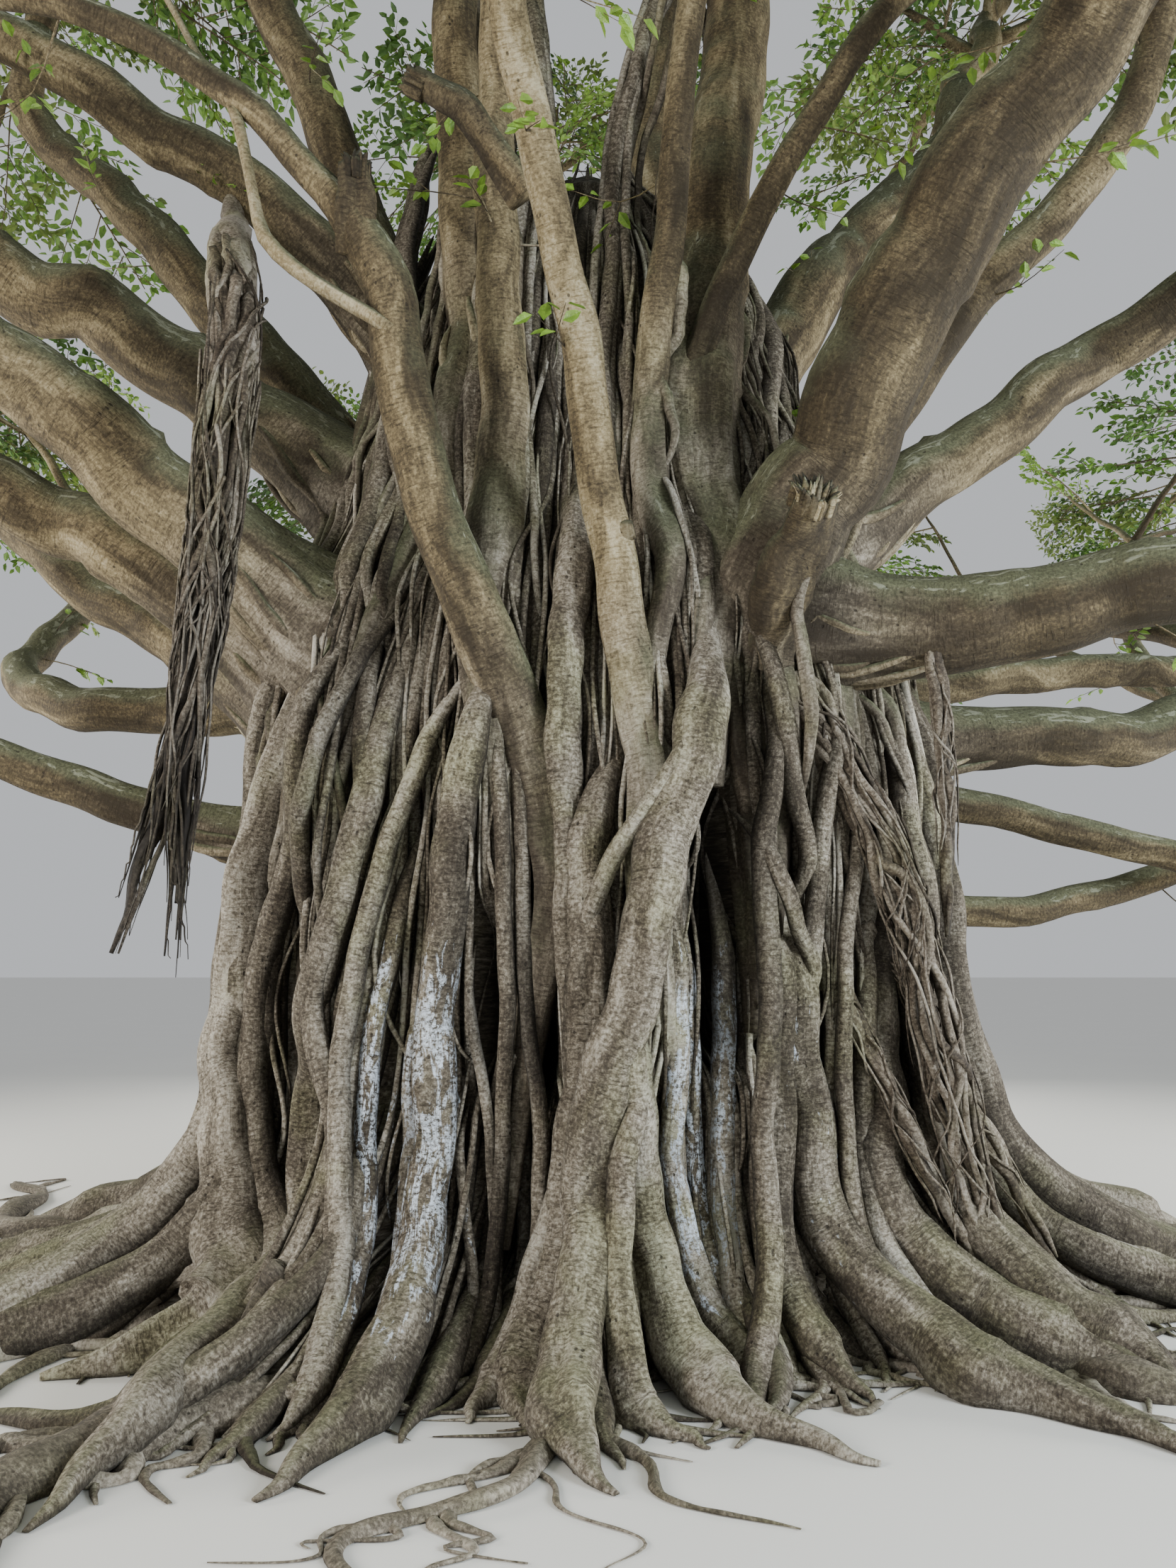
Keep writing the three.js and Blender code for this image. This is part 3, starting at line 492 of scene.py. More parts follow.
def top_droop(height):
    """How far the strands bend inwards near the trunk's top, so that it ends as a dome."""
    return 0.55 * np.clip((height - FORK_HEIGHT + 1.15) / 1.3, 0, 1) ** 1.6


def cleft_depth(azimuth, height):
    """How deep the trunk's skin is hollowed: each cleft is a flat-bottomed trough with soft ends."""
    azimuth, height = np.broadcast_arrays(np.asarray(azimuth, float), np.asarray(height, float))
    depth = np.zeros(azimuth.shape)
    for middle, low, high, width, deep in CLEFTS:
        off = turn_between(middle, azimuth) / width
        depth = np.maximum(depth, deep * np.exp(-(off**4)) * window(height, low, high, 0.3))
    return depth


# Curves and sweeps


def spline_through(points, count):
    """Evenly spaced points and tangents on a centripetal Catmull-Rom spline through the given points.

    Between two points the curve is the cubic whose end slopes weigh the steps before and after by the square
    root of their lengths.
    """
    p = np.asarray(points, float)
    p = np.concatenate([[2 * p[0] - p[1]], p, [2 * p[-1] - p[-2]]])
    spans = len(p) - 3
    u = np.linspace(0, spans, 60 * spans + 1)
    i = np.minimum(u.astype(int), spans - 1)
    w = (u - i)[:, None]
    x0, x1, x2, x3 = p[i], p[i + 1], p[i + 2], p[i + 3]
    d0, d1, d2 = (np.sqrt(np.linalg.norm(b - a, axis=1))[:, None] for a, b in ((x0, x1), (x1, x2), (x2, x3)))
    t1 = ((x1 - x0) / d0 - (x2 - x0) / (d0 + d1) + (x2 - x1) / d1) * d1
    t2 = ((x2 - x1) / d1 - (x3 - x1) / (d1 + d2) + (x3 - x2) / d2) * d1
    fine = x1 + t1 * w + (3 * (x2 - x1) - 2 * t1 - t2) * w**2 + (2 * (x1 - x2) + t1 + t2) * w**3
    return evenly(fine[None], count)[0]


def travelled(rows):
    """The length covered along rows of places, nought where each row starts."""
    steps = np.linalg.norm(np.diff(rows[..., :3], axis=1), axis=2)
    return np.concatenate([np.zeros((len(rows), 1)), np.cumsum(steps, axis=1)], axis=1)


def evenly(rows, count, weight=None):
    """Rows of points (n, m, k) at equal steps of length along them; the first three of k are the place.

    With weight, a list of m values from 0 to 1, the steps follow it instead of being equal.
    """
    length = travelled(rows)
    share = np.linspace(0, 1, count) if weight is None else weight
    out = np.empty((len(rows), count, rows.shape[2]))
    for n in range(len(rows)):
        for k in range(rows.shape[2]):
            out[n, :, k] = np.interp(share * length[n, -1], length[n], rows[n, :, k])
    return out


def smooth_between(knots, values, at):
    """Values (n, k) at shared knots (k), carried smoothly to other places by a cubic."""
    values = np.asarray(values, float)
    slopes = np.gradient(values, knots, axis=-1)
    i = np.clip(np.searchsorted(knots, at, side="right") - 1, 0, len(knots) - 2)
    h = knots[i + 1] - knots[i]
    t = np.clip((at - knots[i]) / h, 0, 1)
    v0, v1, s0, s1 = values[..., i], values[..., i + 1], slopes[..., i] * h, slopes[..., i + 1] * h
    return (
        v0 * (2 * t**3 - 3 * t**2 + 1)
        + s0 * (t**3 - 2 * t**2 + t)
        + v1 * (3 * t**2 - 2 * t**3)
        + s1 * (t**3 - t**2)
    )


def waves(rng, n, at, longest, amplitude, count=3):
    """n rows of smooth wander along at: a sum of sines, each next one shorter and smaller."""
    out = np.zeros((n, at.shape[-1]))
    for k in range(count):
        length = longest / 1.9**k * rng.uniform(0.8, 1.25, (n, 1))
        phase = rng.uniform(0, 2 * np.pi, (n, 1))
        out += amplitude / 1.7**k * np.sin(2 * np.pi * at / length + phase)
    return out


def closed_grid(rows, columns):
    """Faces of a grid whose last column meets its first: quads, and a fan from a pole at either end."""
    i, j = np.meshgrid(np.arange(rows - 1), np.arange(columns), indexing="ij")
    k = (j + 1) % columns
    quads = np.stack([i * columns + j, i * columns + k, (i + 1) * columns + k, (i + 1) * columns + j], -1)
    j, k = j[0], k[0]
    last = (rows - 1) * columns
    low = np.stack([np.full(columns, rows * columns), k, j], -1)
    high = np.stack([np.full(columns, rows * columns + 1), last + j, last + k], -1)
    return quads.reshape(-1, 4), np.concatenate([low, high])


def sweep(centres, radii, facing, sides, profile=None, seed=0):
    """Closed tubes along rows of centres.

    Each ring is centre + radius * profile * (cos a * out + sin a * across), where across is the tangent
    crossed with out, and out is facing made square to the tangent. A pole closes each end.
    Gives a dictionary: points, quads, triangles and flow, the place on the straightened tube.
    """
    n, r = centres.shape[:2]
    tangent = unit(np.gradient(centres, axis=1))
    out = unit(facing - tangent * np.sum(facing * tangent, axis=2, keepdims=True))
    across = np.cross(tangent, out)
    angle = angles_of(sides)
    reach = radii[:, :, None] * (np.ones((1, 1, sides)) if profile is None else profile)
    ring = (
        centres[:, :, None, :]
        + (reach * np.cos(angle))[..., None] * out[:, :, None, :]
        + (reach * np.sin(angle))[..., None] * across[:, :, None, :]
    )
    along = travelled(centres)
    shift = np.stack([chance(seed + np.arange(n) * 3.1 + k) * 40 for k in range(3)], -1)
    flow = np.empty((n, r, sides, 3))
    flow[..., 0] = radii[:, :, None] * np.cos(angle) + shift[:, None, None, 0]
    flow[..., 1] = radii[:, :, None] * np.sin(angle) + shift[:, None, None, 1]
    flow[..., 2] = along[:, :, None] + shift[:, None, None, 2]
    poles = np.stack([centres[:, 0], centres[:, -1]], 1)
    pole_flow = np.stack([flow[:, 0].mean(1), flow[:, -1].mean(1)], 1)
    points = np.concatenate([ring.reshape(n, -1, 3), poles], 1)
    flows = np.concatenate([flow.reshape(n, -1, 3), pole_flow], 1)
    quads, triangles = closed_grid(r, sides)
    base = (np.arange(n) * (r * sides + 2))[:, None, None]
    return {
        "points": points.reshape(-1, 3),
        "quads": (quads[None] + base).reshape(-1, 4),
        "triangles": (triangles[None] + base).reshape(-1, 3),
        "flow": flows.reshape(-1, 3),
        "rows": n,
        "rings": r,
        "sides": sides,
    }


def finished(tubes, *channels):
    """Tubes cut off at the ground, with bark_mix.

    Each of its channels is one value, or one for each tube, each ring or each corner of the rings. A channel
    that isn't given is nought.
    """
    n, r, sides = tubes["rows"], tubes["rings"], tubes["sides"]
    tubes["points"][:, 2] = np.maximum(tubes["points"][:, 2], 0)
    mix = np.zeros((len(tubes["points"]), 3))
    for k, values in enumerate(channels):
        values = np.asarray(values, float)
        values = np.broadcast_to(values.reshape(values.shape + (1,) * (3 - values.ndim)), (n, r, sides))
        caps = [values[:, :1, 0], values[:, -1:, 0]]
        mix[:, k] = np.concatenate([values.reshape(n, -1), *caps], 1).reshape(-1)
    tubes["mix"] = mix
    return tubes


def lumps(rng, n, along, sides, depth):
    """Uneven cross-sections (n, r, sides): lobes that wind slowly round each tube and swell along it."""
    angle = angles_of(sides)
    out = np.ones((n, along.shape[1], sides))
    for lobes, share in ((1, 0.5), (2, 0.8), (3, 0.6), (4, 0.35)):
        twist = rng.uniform(-1.6, 1.6, (n, 1, 1))
        phase = rng.uniform(0, 2 * np.pi, (n, 1, 1))
        swell = 1 + 0.6 * waves(rng, n, along, 0.9, 1.0, 2)[..., None]
        out += depth * share * swell * np.sin(lobes * angle + twist * along[..., None] * 2 + phase)
    return out + depth * waves(rng, n, along, 0.9, 0.5, 2)[..., None]


def joined(parts):
    """Several meshes' arrays as one."""
    out = {"points": [], "quads": [], "triangles": [], "flow": [], "mix": []}
    base = 0
    for part in parts:
        for key in ("quads", "triangles"):
            out[key].append(part[key] + base)
        for key in ("points", "flow", "mix"):
            out[key].append(part[key])
        base += len(part["points"])
    return {key: np.concatenate(rows) for key, rows in out.items()}


def put_mesh(name, part, material, nodes, smooth=True):
    """Makes an object of a mesh's arrays and ties it to the frame. Flow and mix become attributes."""
    quads, triangles = part["quads"], part["triangles"]
    count = len(quads) * 2 + len(triangles)
    if count > MOST_TRIANGLES:
        raise ValueError(f"{name} has {count} triangles")
    corners = np.concatenate([quads.ravel(), triangles.ravel()]).astype(np.int32)
    starts = np.concatenate([np.arange(len(quads)) * 4, len(quads) * 4 + np.arange(len(triangles)) * 3])
    mesh = bpy.data.meshes.new(name)
    mesh.vertices.add(len(part["points"]))
    mesh.vertices.foreach_set("co", part["points"].astype(np.float32).ravel())
    mesh.loops.add(len(corners))
    mesh.loops.foreach_set("vertex_index", corners)
    mesh.polygons.add(len(starts))
    mesh.polygons.foreach_set("loop_start", starts.astype(np.int32))
    mesh.polygons.foreach_set("use_smooth", np.full(len(starts), smooth))
    if "flow" in part:
        mesh.attributes.new("flow", "FLOAT_VECTOR", "POINT").data.foreach_set("vector", part["flow"].ravel())
    if "mix" in part:
        colour = np.concatenate([part["mix"], np.ones((len(part["mix"]), 1))], 1)
        mesh.attributes.new("bark_mix", "FLOAT_COLOR", "POINT").data.foreach_set("color", colour.ravel())
    mesh.update(calc_edges=True)
    mesh.validate()
    mesh.materials.append(material)
    piece = bpy.data.objects.new(name, mesh)
    bpy.context.scene.collection.objects.link(piece)
    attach(piece, "root")
    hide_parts(*nodes)
    print(f"{name}: {count} triangles")
    return piece


# Trunk's pieces


def core_part(columns=320, rows=64):
    """The trunk's inner skin: a grid of azimuth and height, behind the roots that cover it.

    Its radius is the trunk's less a depth, plus ridges: the highest of three sets of round-backed strips.
    Each set is bent by its own slow wave, so that the strips lean, cross and run into each other.
    """
    azimuth = np.arange(columns) / columns * 360
    level = np.linspace(0, 1, rows) ** 1.25
    height = (level * FORK_HEIGHT)[:, None]
    relief = np.zeros((rows, columns))
    for seed, strips, lean, tall in ((1, 64, 5.0, 0.075), (2, 88, -4.0, 0.06), (3, 130, 2.0, 0.035)):
        rng = np.random.default_rng(seed)
        bend = sum(
            lean / (k + 1)
            * np.sin(height * (0.9 + 0.7 * k) + k * np.radians(azimuth)[None] * 2 + rng.uniform(0, 6))
            for k in range(3)
        )
        place = (azimuth[None] + bend) / 360 * strips
        cell = np.floor(place)
        middle = cell + 0.5 + 0.24 * (chance(np.mod(cell, strips) * 1.7 + seed) - 0.5)
        half = 0.36 + 0.16 * chance(np.mod(cell, strips) * 2.3 + seed)
        across = np.clip((place - middle) / half, -1, 1)
        size = tall * (0.55 + 0.45 * chance(np.mod(cell, strips) * 3.9 + seed))
        relief = np.maximum(relief, size * np.sqrt(1 - across * across))
    hollow = cleft_depth(azimuth[None], height)
    radius = trunk_radius(azimuth[None], height) - CORE_DEPTH + relief - hollow * 1.3 - top_droop(height)
    points = polar(azimuth[None], np.maximum(radius, 0.35), height).reshape(-1, 3)
    points = np.concatenate([points, [[0, 0, 0], [0, 0, FORK_HEIGHT + 0.3]]])
    quads, triangles = closed_grid(rows, columns)
    flow = polar(azimuth[None], 1.6, height).reshape(-1, 3)
    flow = np.concatenate([flow, [[0, 0, 0], [0, 0, FORK_HEIGHT]]])
    tint = 0.35 + 0.3 * chance(np.floor(azimuth / 5.0))[None] + 0 * height
    # painted shade: darker in the clefts and where the ridges are low, less of it near the top
    shade = np.clip(0.55 + hollow * 3 - relief * 5, 0, 1) * (1 - 0.6 * np.clip((height - 4.6) / 0.8, 0, 1))
    pale = 0.5 * window(height, 0.2, 1.7, 0.4) * (bell(245, azimuth, 9) + bell(291, azimuth, 6))[None]
    mix = np.stack(np.broadcast_arrays(tint, pale, shade), -1).reshape(-1, 3)
    mix = np.concatenate([mix, [[0.5, 0, 0.6], [0.5, 0, 0.6]]])
    return {"points": points, "quads": quads, "triangles": triangles, "flow": flow, "mix": mix}


def strand_part(ways, rng, rings, sides, tint, lump=0.06, lobes=0.0):
    """Root strands laid on the trunk, head first.

    Ways holds azimuth, height, proud, girth, pale and shade, all (n, m); shade is painted shade. The centre
    is on the trunk's skin, moved out by proud. A strand that reaches the ground goes on over it as a toe
    that thins out, and the bends of thick strands are eased, each point moving part of the way to the mean
    of its neighbours. A ring faces away from the trunk, or upwards on a toe. The side of a strand that faces
    the trunk is darker, as painted shade.
    """
    azimuth, height, proud, girth, pale, shade = (np.broadcast_to(v, ways[0].shape) for v in ways)
    n = len(azimuth)
    t = np.linspace(0, 1, 24)[None, 1:]
    grounded = (height[:, -1:] < TOUCH_HEIGHT).astype(float)
    reach = grounded * rng.uniform(*TOE_SHARES, (n, 1)) * (0.3 + 11 * girth[:, -1:]) + 1e-4
    blunt = 0.75 + 0.9 * np.clip(1 - girth[:, -1:] / 0.05, 0, 1)
    snake = waves(rng, n, t[0] * 1.2, 0.7, 1.6, 2) * np.minimum(1, 0.03 / girth[:, -1:])
    drift = grounded * (rng.normal(0, 8, (n, 1)) * np.minimum(1, 0.06 / girth[:, -1:]) * t**1.3 + snake)
    push = grounded * reach * 0.7 * np.clip(1 - height / 0.5, 0, 1) ** 2
    distance = trunk_radius(azimuth, height) + proud + push
    rest = np.ones((1, t.shape[1]))
    azimuth = np.concatenate([azimuth, azimuth[:, -1:] + drift], 1)
    distance = np.concatenate([distance, distance[:, -1:] + reach * t], 1)
    sunk = np.where(grounded > 0, height[:, -1:] * (1 - t), height[:, -1:] * rest)
    height = np.concatenate([height, sunk], 1)
    girth = np.concatenate([girth, girth[:, -1:] * (1 - 0.9 * grounded * t**blunt)], 1)
    pale = np.concatenate([pale, pale[:, -1:] * (1 - t)], 1)
    shade = np.concatenate([shade, shade[:, -1:] * rest], 1)
    swell = 1 + 0.22 * np.exp(-height / 0.16)
    rows = [polar(azimuth, distance, height), direction(azimuth, 0)]
    rows = evenly(np.concatenate([*rows, np.stack([girth * swell, pale, shade], -1)], 2), rings)
    share = np.clip(rows[:, 1:-1, 6:7] / 0.15, 0.08, 1)
    for _ in range(EASING_PASSES):
        middle = (rows[:, :-2, :3] + 2 * rows[:, 1:-1, :3] + rows[:, 2:, :3]) / 4
        rows[:, 1:-1, :3] += (middle - rows[:, 1:-1, :3]) * share
    along = travelled(rows)
    sideways = np.cross(unit(rows[..., 3:6]), UP)
    wander = waves(rng, n, along, 1.1, 0.13, 3) * rows[..., 6]
    lift = waves(rng, n, along, 0.9, 0.12, 2) * rows[..., 6]
    place = rows[..., :3] + sideways * wander[..., None] + rows[..., 3:6] * lift[..., None]
    profile = lumps(rng, n, along, sides, lump)
    if lobes:
        profile = profile + creases(rng, n, along, sides, lobes)
    tangent = unit(np.gradient(place, axis=1))
    facing = np.cross(sideways, tangent) + 0.15 * rows[..., 3:6] + 0.05 * UP
    tubes = sweep(place, rows[..., 6], facing, sides, profile, rng.integers(1000))
    # painted shade: the side of each strand that faces the trunk is darkened, on top of its way's shade
    inward_shade = np.clip(0.5 - np.cos(angles_of(sides)), 0, 1)
    deep = np.clip(rows[..., 8:9] + 0.85 * inward_shade, 0, 1)
    return finished(tubes, tint, rows[..., 7], deep)


def creases(rng, n, along, sides, depth):
    """Cross-sections of fused roots (n, r, sides): round lobes with sharp creases between, winding slowly.

    Each lobe is the root of the size of a sine, so that it is steep at the crease and flat on its back.
    """
    angle = angles_of(sides)
    count = rng.integers(2, 6, (n, 1, 1))
    turn = rng.uniform(0, 6.3, (n, 1)) + rng.uniform(-0.5, 0.5, (n, 1)) * along
    turn = turn + waves(rng, n, along, 2.2, 0.35, 2)
    lobe = np.sqrt(np.abs(np.sin(count * (angle + turn[..., None]) / 2)))
    return depth * (lobe - 0.75) * (1 + 0.5 * waves(rng, n, along, 1.6, 1.0, 1)[..., None])


def braided_layer(seed, count, first, span, layer, fine):
    """A layer of strands side by side round the trunk, from first over span degrees. Fine scales its rings.

    At each of a row of heights, neighbours either meet or keep apart; the pairs change from one height to the
    next, so that strands run together, fuse and part again. Most strands are thin and a few are thick.
    """
    top, proud, girths, merge, rings, sides, low, tint, lean = STRAND_LAYERS[layer]
    rng = np.random.default_rng(seed)
    step = span / count
    base = first + (np.arange(count) + 0.5 + rng.uniform(-0.35, 0.35, count)) * step
    knots = np.concatenate([[0, 0.35], np.arange(0.9, 6.9, 0.62)])
    around = np.repeat(base[:, None], len(knots), 1)
    around += np.cumsum(rng.normal(0, 0.3 * step, around.shape), axis=1)
    around += lean * (knots[None] - BREAST_HEIGHT)
    size = girths[0] + (girths[1] - girths[0]) * rng.uniform(size=count) ** 1.8
    for k in range(1, len(knots)):
        first_of_pair = np.arange(k % 2, count - 1, 2)
        meet = rng.uniform(size=len(first_of_pair)) < merge
        i = first_of_pair[meet]
        middle = (around[i, k] + around[i + 1, k]) / 2
        gap = np.degrees(0.42 * (size[i] + size[i + 1]) / 1.6)
        around[i, k], around[i + 1, k] = middle - gap, middle + gap
    lowest = np.where(rng.uniform(size=count) < low, rng.uniform(0.5, 2.2, count), 0.0)[:, None]
    highest = (top + 0.1 - 1.9 * rng.uniform(size=count) ** 1.6)[:, None]
    t = np.linspace(1, 0, WAY_STEPS)[None]
    height = lowest + (highest - lowest) * t**1.5
    azimuth = np.stack([smooth_between(knots, around[i], height[i]) for i in range(count)])
    ends = np.minimum(1, (1 - t) / 0.08) * np.where(lowest > 0, np.minimum(1, t / 0.12), 1)
    girth = size[:, None] * (0.82 + 0.25 * np.exp(-height / 0.5))
    girth = girth * (0.12 + 0.88 * np.sqrt(np.clip(ends, 0, 1)))
    girth = girth * (1 + waves(rng, count, height, 1.7, 0.10, 2))
    sink = cleft_depth(azimuth, height)
    girth = girth * (1 - 0.55 * np.clip(sink / 0.3, 0, 1))
    out = proud + waves(rng, count, height, 1.6, 0.03, 2)
    out = out - sink * 1.15 - 0.10 * (1 - ends) - top_droop(height)
    # painted shade: darker in the clefts, and behind the outer strands on the inner layer
    shade = np.clip(sink * 3.0 + (0.35 if proud < -0.06 else 0.0), 0, 1)
    place = bell(244, azimuth, 10) + 0.8 * bell(290, azimuth, 7)
    pale = 0.85 * place * window(height, 0.15, 1.55, 0.5)
    ways = (azimuth, height, out, girth, pale, shade)
    return strand_part(ways, rng, int(rings * fine), sides, rng.uniform(*tint, count))


def named_part(roots, rings, sides, lobes=0.22):
    """Roots with a place of their own, each along its own azimuths and heights. The thick ones look fused."""
    rng = np.random.default_rng(77)
    t = np.linspace(0, 1, WAY_STEPS)
    rows = {key: [] for key in ("azimuth", "height", "proud", "girth", "pale")}
    for top, foot, pale, proud, way in roots:
        way = np.array(way, float)
        knots = np.linspace(0, 1, len(way))
        azimuth, height = smooth_between(knots, way.T, t)
        height = np.maximum(height, 0.0)
        fade = np.minimum(1, t / 0.2) * (np.minimum(1, (1 - t) / 0.25) if way[-1, 1] > 0.3 else 1)
        rows["azimuth"].append(azimuth)
        rows["height"].append(height)
        rows["proud"].append(proud - (0.12 + 0.8 * proud) * (1 - fade) ** 1.5)
        rows["girth"].append((top + (foot - top) * t) * (0.08 + 0.92 * fade**0.7))
        rows["pale"].append(pale * window(height, -0.3, 2.2, 0.8))
    ways = [np.array(value) for value in rows.values()]
    # painted shade: roots darker where they lie in the clefts
    ways.append(np.clip(cleft_depth(ways[0], ways[1]) * 2.0, 0, 0.75))
    return strand_part(ways, rng, rings, sides, rng.uniform(0.35, 0.8, len(roots)), 0.06, lobes)


def sheaves(stems):
    """Each stem as a few thinner roots side by side that sway together and apart, one of them thicker."""
    rng = np.random.default_rng(19)
    roots = []
    for top, foot, pale, proud, way in stems:
        for k in range(4):
            aside = (k - 1.5) * 2.7 + rng.uniform(-0.8, 0.8)
            size = rng.uniform(0.5, 0.62) if k == 1 else rng.uniform(0.26, 0.42)
            sway = rng.normal(0, 0.8, len(way))
            drop = rng.uniform(-0.25, 0.1)
            bent = [(azimuth + aside + sway[i], height + drop) for i, (azimuth, height) in enumerate(way)]
            roots.append((top * size, foot * size, pale, proud - rng.uniform(0, 0.05), bent))
    return roots


def leg_part(rings, sides):
    """Big fused roots on the legs that the front's named roots leave bare: a few side by side on each leg."""
    rng = np.random.default_rng(31)
    ways = []
    for foot, top, width, _, _ in LEGS:
        if FRONT_LEGS[0] < foot < FRONT_LEGS[1]:
            continue
        for off in (-0.75, 0.0, 0.7):
            start = top + off * width * 0.9 + rng.uniform(-2, 2)
            end = foot + off * width * 0.8 + rng.uniform(-2, 2)
            middle = (start + end) / 2 + rng.uniform(-4, 4)
            head = rng.uniform(2.4, 3.6)
            size = rng.uniform(0.07, 0.13)
            way = [(start, head), (start + (middle - start) * 0.5, head * 0.7), (middle, head * 0.45)]
            way += [(middle + (end - middle) * 0.6, 0.7), (end, 0.3), (end + rng.uniform(-4, 4), 0.04)]
            ways.append((size * 0.7, size * 1.35, 0.0, 0.05, way))
    return named_part(ways, rings, sides, 0.25)


def toe_part(count, seed, rings, sides):
    """Toes: thin roots that leave the trunk's foot low down, spread and snake out over the ground."""
    rng = np.random.default_rng(seed)
    start = rng.uniform(0, 360, count)
    spread = rng.normal(0, 9, count)
    length = rng.uniform(0.25, 1.15, count)
    t = np.linspace(0, 1, 90)[None]
    lift = rng.uniform(0.12, 0.5, count)[:, None]
    azimuth = start[:, None] + spread[:, None] * t**1.4 + waves(rng, count, t * 1.5, 1.0, 2.2, 3)
    height = lift * np.maximum(0, 1 - t / 0.45) ** 1.7
    girth = rng.uniform(0.022, 0.06, count)[:, None]
    distance = trunk_radius(azimuth, height) - 0.03 + length[:, None] * np.maximum(0, t - 0.35) ** 1.1
    distance = np.minimum(distance, trunk_radius(start[:, None], 0.0) + 1.5)
    radius = girth * (1.15 - 0.85 * t)
    centres = polar(azimuth, distance, height + radius * (0.35 - 0.3 * t))
    rows = np.concatenate([centres, radius[..., None]], 2)
    rows = evenly(rows, rings)
    along = np.linspace(0, 1, rings)[None] * length[:, None] * 2
    facing = np.broadcast_to(UP, rows[..., :3].shape) + direction(azimuth[:, :1], 0) * 0.4
    tubes = sweep(rows[..., :3], rows[..., 3], facing, sides, lumps(rng, count, along, sides, 0.12), seed)
    return finished(tubes, rng.uniform(0.3, 0.8, count), 0.0, 0.08)


# Crown's space


def crown_masses():
    """Every mass of foliage: its name, seed, azimuth, centre and half-sizes."""
    masses = []
    for t, (tier, count, first, distance, height, half) in enumerate(TIERS):
        for i in range(count):
            seed = 100 * (t + 1) + i
            azimuth = (first + 360 / count * i) % 360
            far = distance * (0.96 + 0.1 * float(chance(seed + 0.25)))
            high = height * (0.96 + 0.08 * float(chance(seed + 0.5)))
            mass = {"name": f"{tier}_{i + 1}", "seed": seed, "azimuth": azimuth, "half": np.array(half)}
            masses.append({**mass, "centre": polar(azimuth, far, high)})
    return masses


MASSES = crown_masses()
MASS = {mass["name"]: mass for mass in MASSES}


def share_of(mass, points):
    """How far out of a mass's middle points lie: 0 there and 1 on the ellipsoid's skin."""
    off = np.asarray(points) - mass["centre"]
    a = math.radians(-mass["azimuth"])
    x = off[..., 0] * math.cos(a) - off[..., 1] * math.sin(a)
    y = off[..., 0] * math.sin(a) + off[..., 1] * math.cos(a)
    return np.linalg.norm(np.stack([x, y, off[..., 2]], -1) / mass["half"], axis=-1)


def inside_space(mass, points):
    """Whether points are in a mass's own space and nearer to its middle than to any other's."""
    own = share_of(mass, points)
    clear = own < 1
    for other in MASSES:
        if other is not mass:
            clear = clear & (share_of(other, points) > own + BORDER)
    return clear


def room_ahead(mass, start, along):
    """How far a point can travel along a direction before it leaves the mass's space, in steps of 0.15."""
    steps = np.arange(1, 41) * 0.15
    inside = inside_space(mass, start + along * steps[:, None])
    return 0.15 * (len(steps) if inside.all() else int(np.argmin(inside)))


def bough_way(bough):
    """The points that a bough's curve passes through: inside the trunk, along its run, and into its mass."""
    azimuth, height, heading, climb, turn, rise, run, _, into, aside = bough
    mass = MASS[into]
    at = polar(azimuth, trunk_radius(azimuth, height) - 0.12, height)
    points = [at - direction(heading, climb) * FOOT_DEPTH, at]
    for i in range(RUN_STEPS):
        t = (i + 0.5) / RUN_STEPS
        at = at + direction(heading + turn * t, climb + rise * t) * run / RUN_STEPS
        points.append(at)
    out = at - mass["centre"]
    out = turned(np.array([out[0], out[1], min(0, out[2]) * 0.5]), UP, -mass["azimuth"])
    out = turned(unit(out / mass["half"]), UP, aside) * (SIDE_ENTRY if aside else ENTRY) * mass["half"]
    end = turned(out, UP, mass["azimuth"]) + mass["centre"]
    span = np.linalg.norm(end - at)
    arrival = unit(mass["centre"] - end + np.array([0, 0, 0.4 * mass["half"][2]]))
    leave = at + direction(heading + turn, climb + rise) * 0.35 * span
    arrive = end - arrival * 0.3 * span
    for t in (0.25, 0.5, 0.75, 1.0):
        nearer = (1 - t) ** 3 * at + 3 * (1 - t) ** 2 * t * leave
        points.append(nearer + 3 * (1 - t) * t * t * arrive + t**3 * end)
    return np.array(points)


def bough_radius(girth, t):
    """A bough's radius at a share t of its length."""
    return girth * (1 - (1 - TIP_SHARE) * t) * (1 + 0.25 * np.exp(-14 * t))


BOUGH_CURVES = {name: spline_through(bough_way(bough), BOUGH_STEPS + 1) for name, bough in BOUGHS.items()}


def clear_of_boughs(points, room):
    """Whether points keep a distance from every bough's bark."""
    clear = np.ones(len(points), bool)
    for name, bough in BOUGHS.items():
        line = BOUGH_CURVES[name][::20]
        start = line
        step = np.concatenate([line[1:], line[-1:]]) - start
        off = points[:, None] - start[None]
        t = np.clip((off * step).sum(-1) / np.maximum((step * step).sum(-1), 1e-12), 0, 1)
        near = np.linalg.norm(off - t[..., None] * step, axis=-1)
        clear &= (near > bough_radius(bough[7], np.arange(17) / 16) + room).all(1)
    return clear


def leaned(along, lean, roll):
    """A direction leaned away from another by an angle, and rolled about it."""
    side = unit(np.cross(np.array([0.31, 0.17, 0.93]), along))
    return unit(turned(along, turned(side, along, roll), lean))


def spray_frame(along, roll):
    """The three axes of a spray: along its twig, sideways and over. With no roll it lies level."""
    sideways = turned(unit(np.cross(UP, along)), along, roll)
    return np.stack([along, sideways, np.cross(along, sideways)])


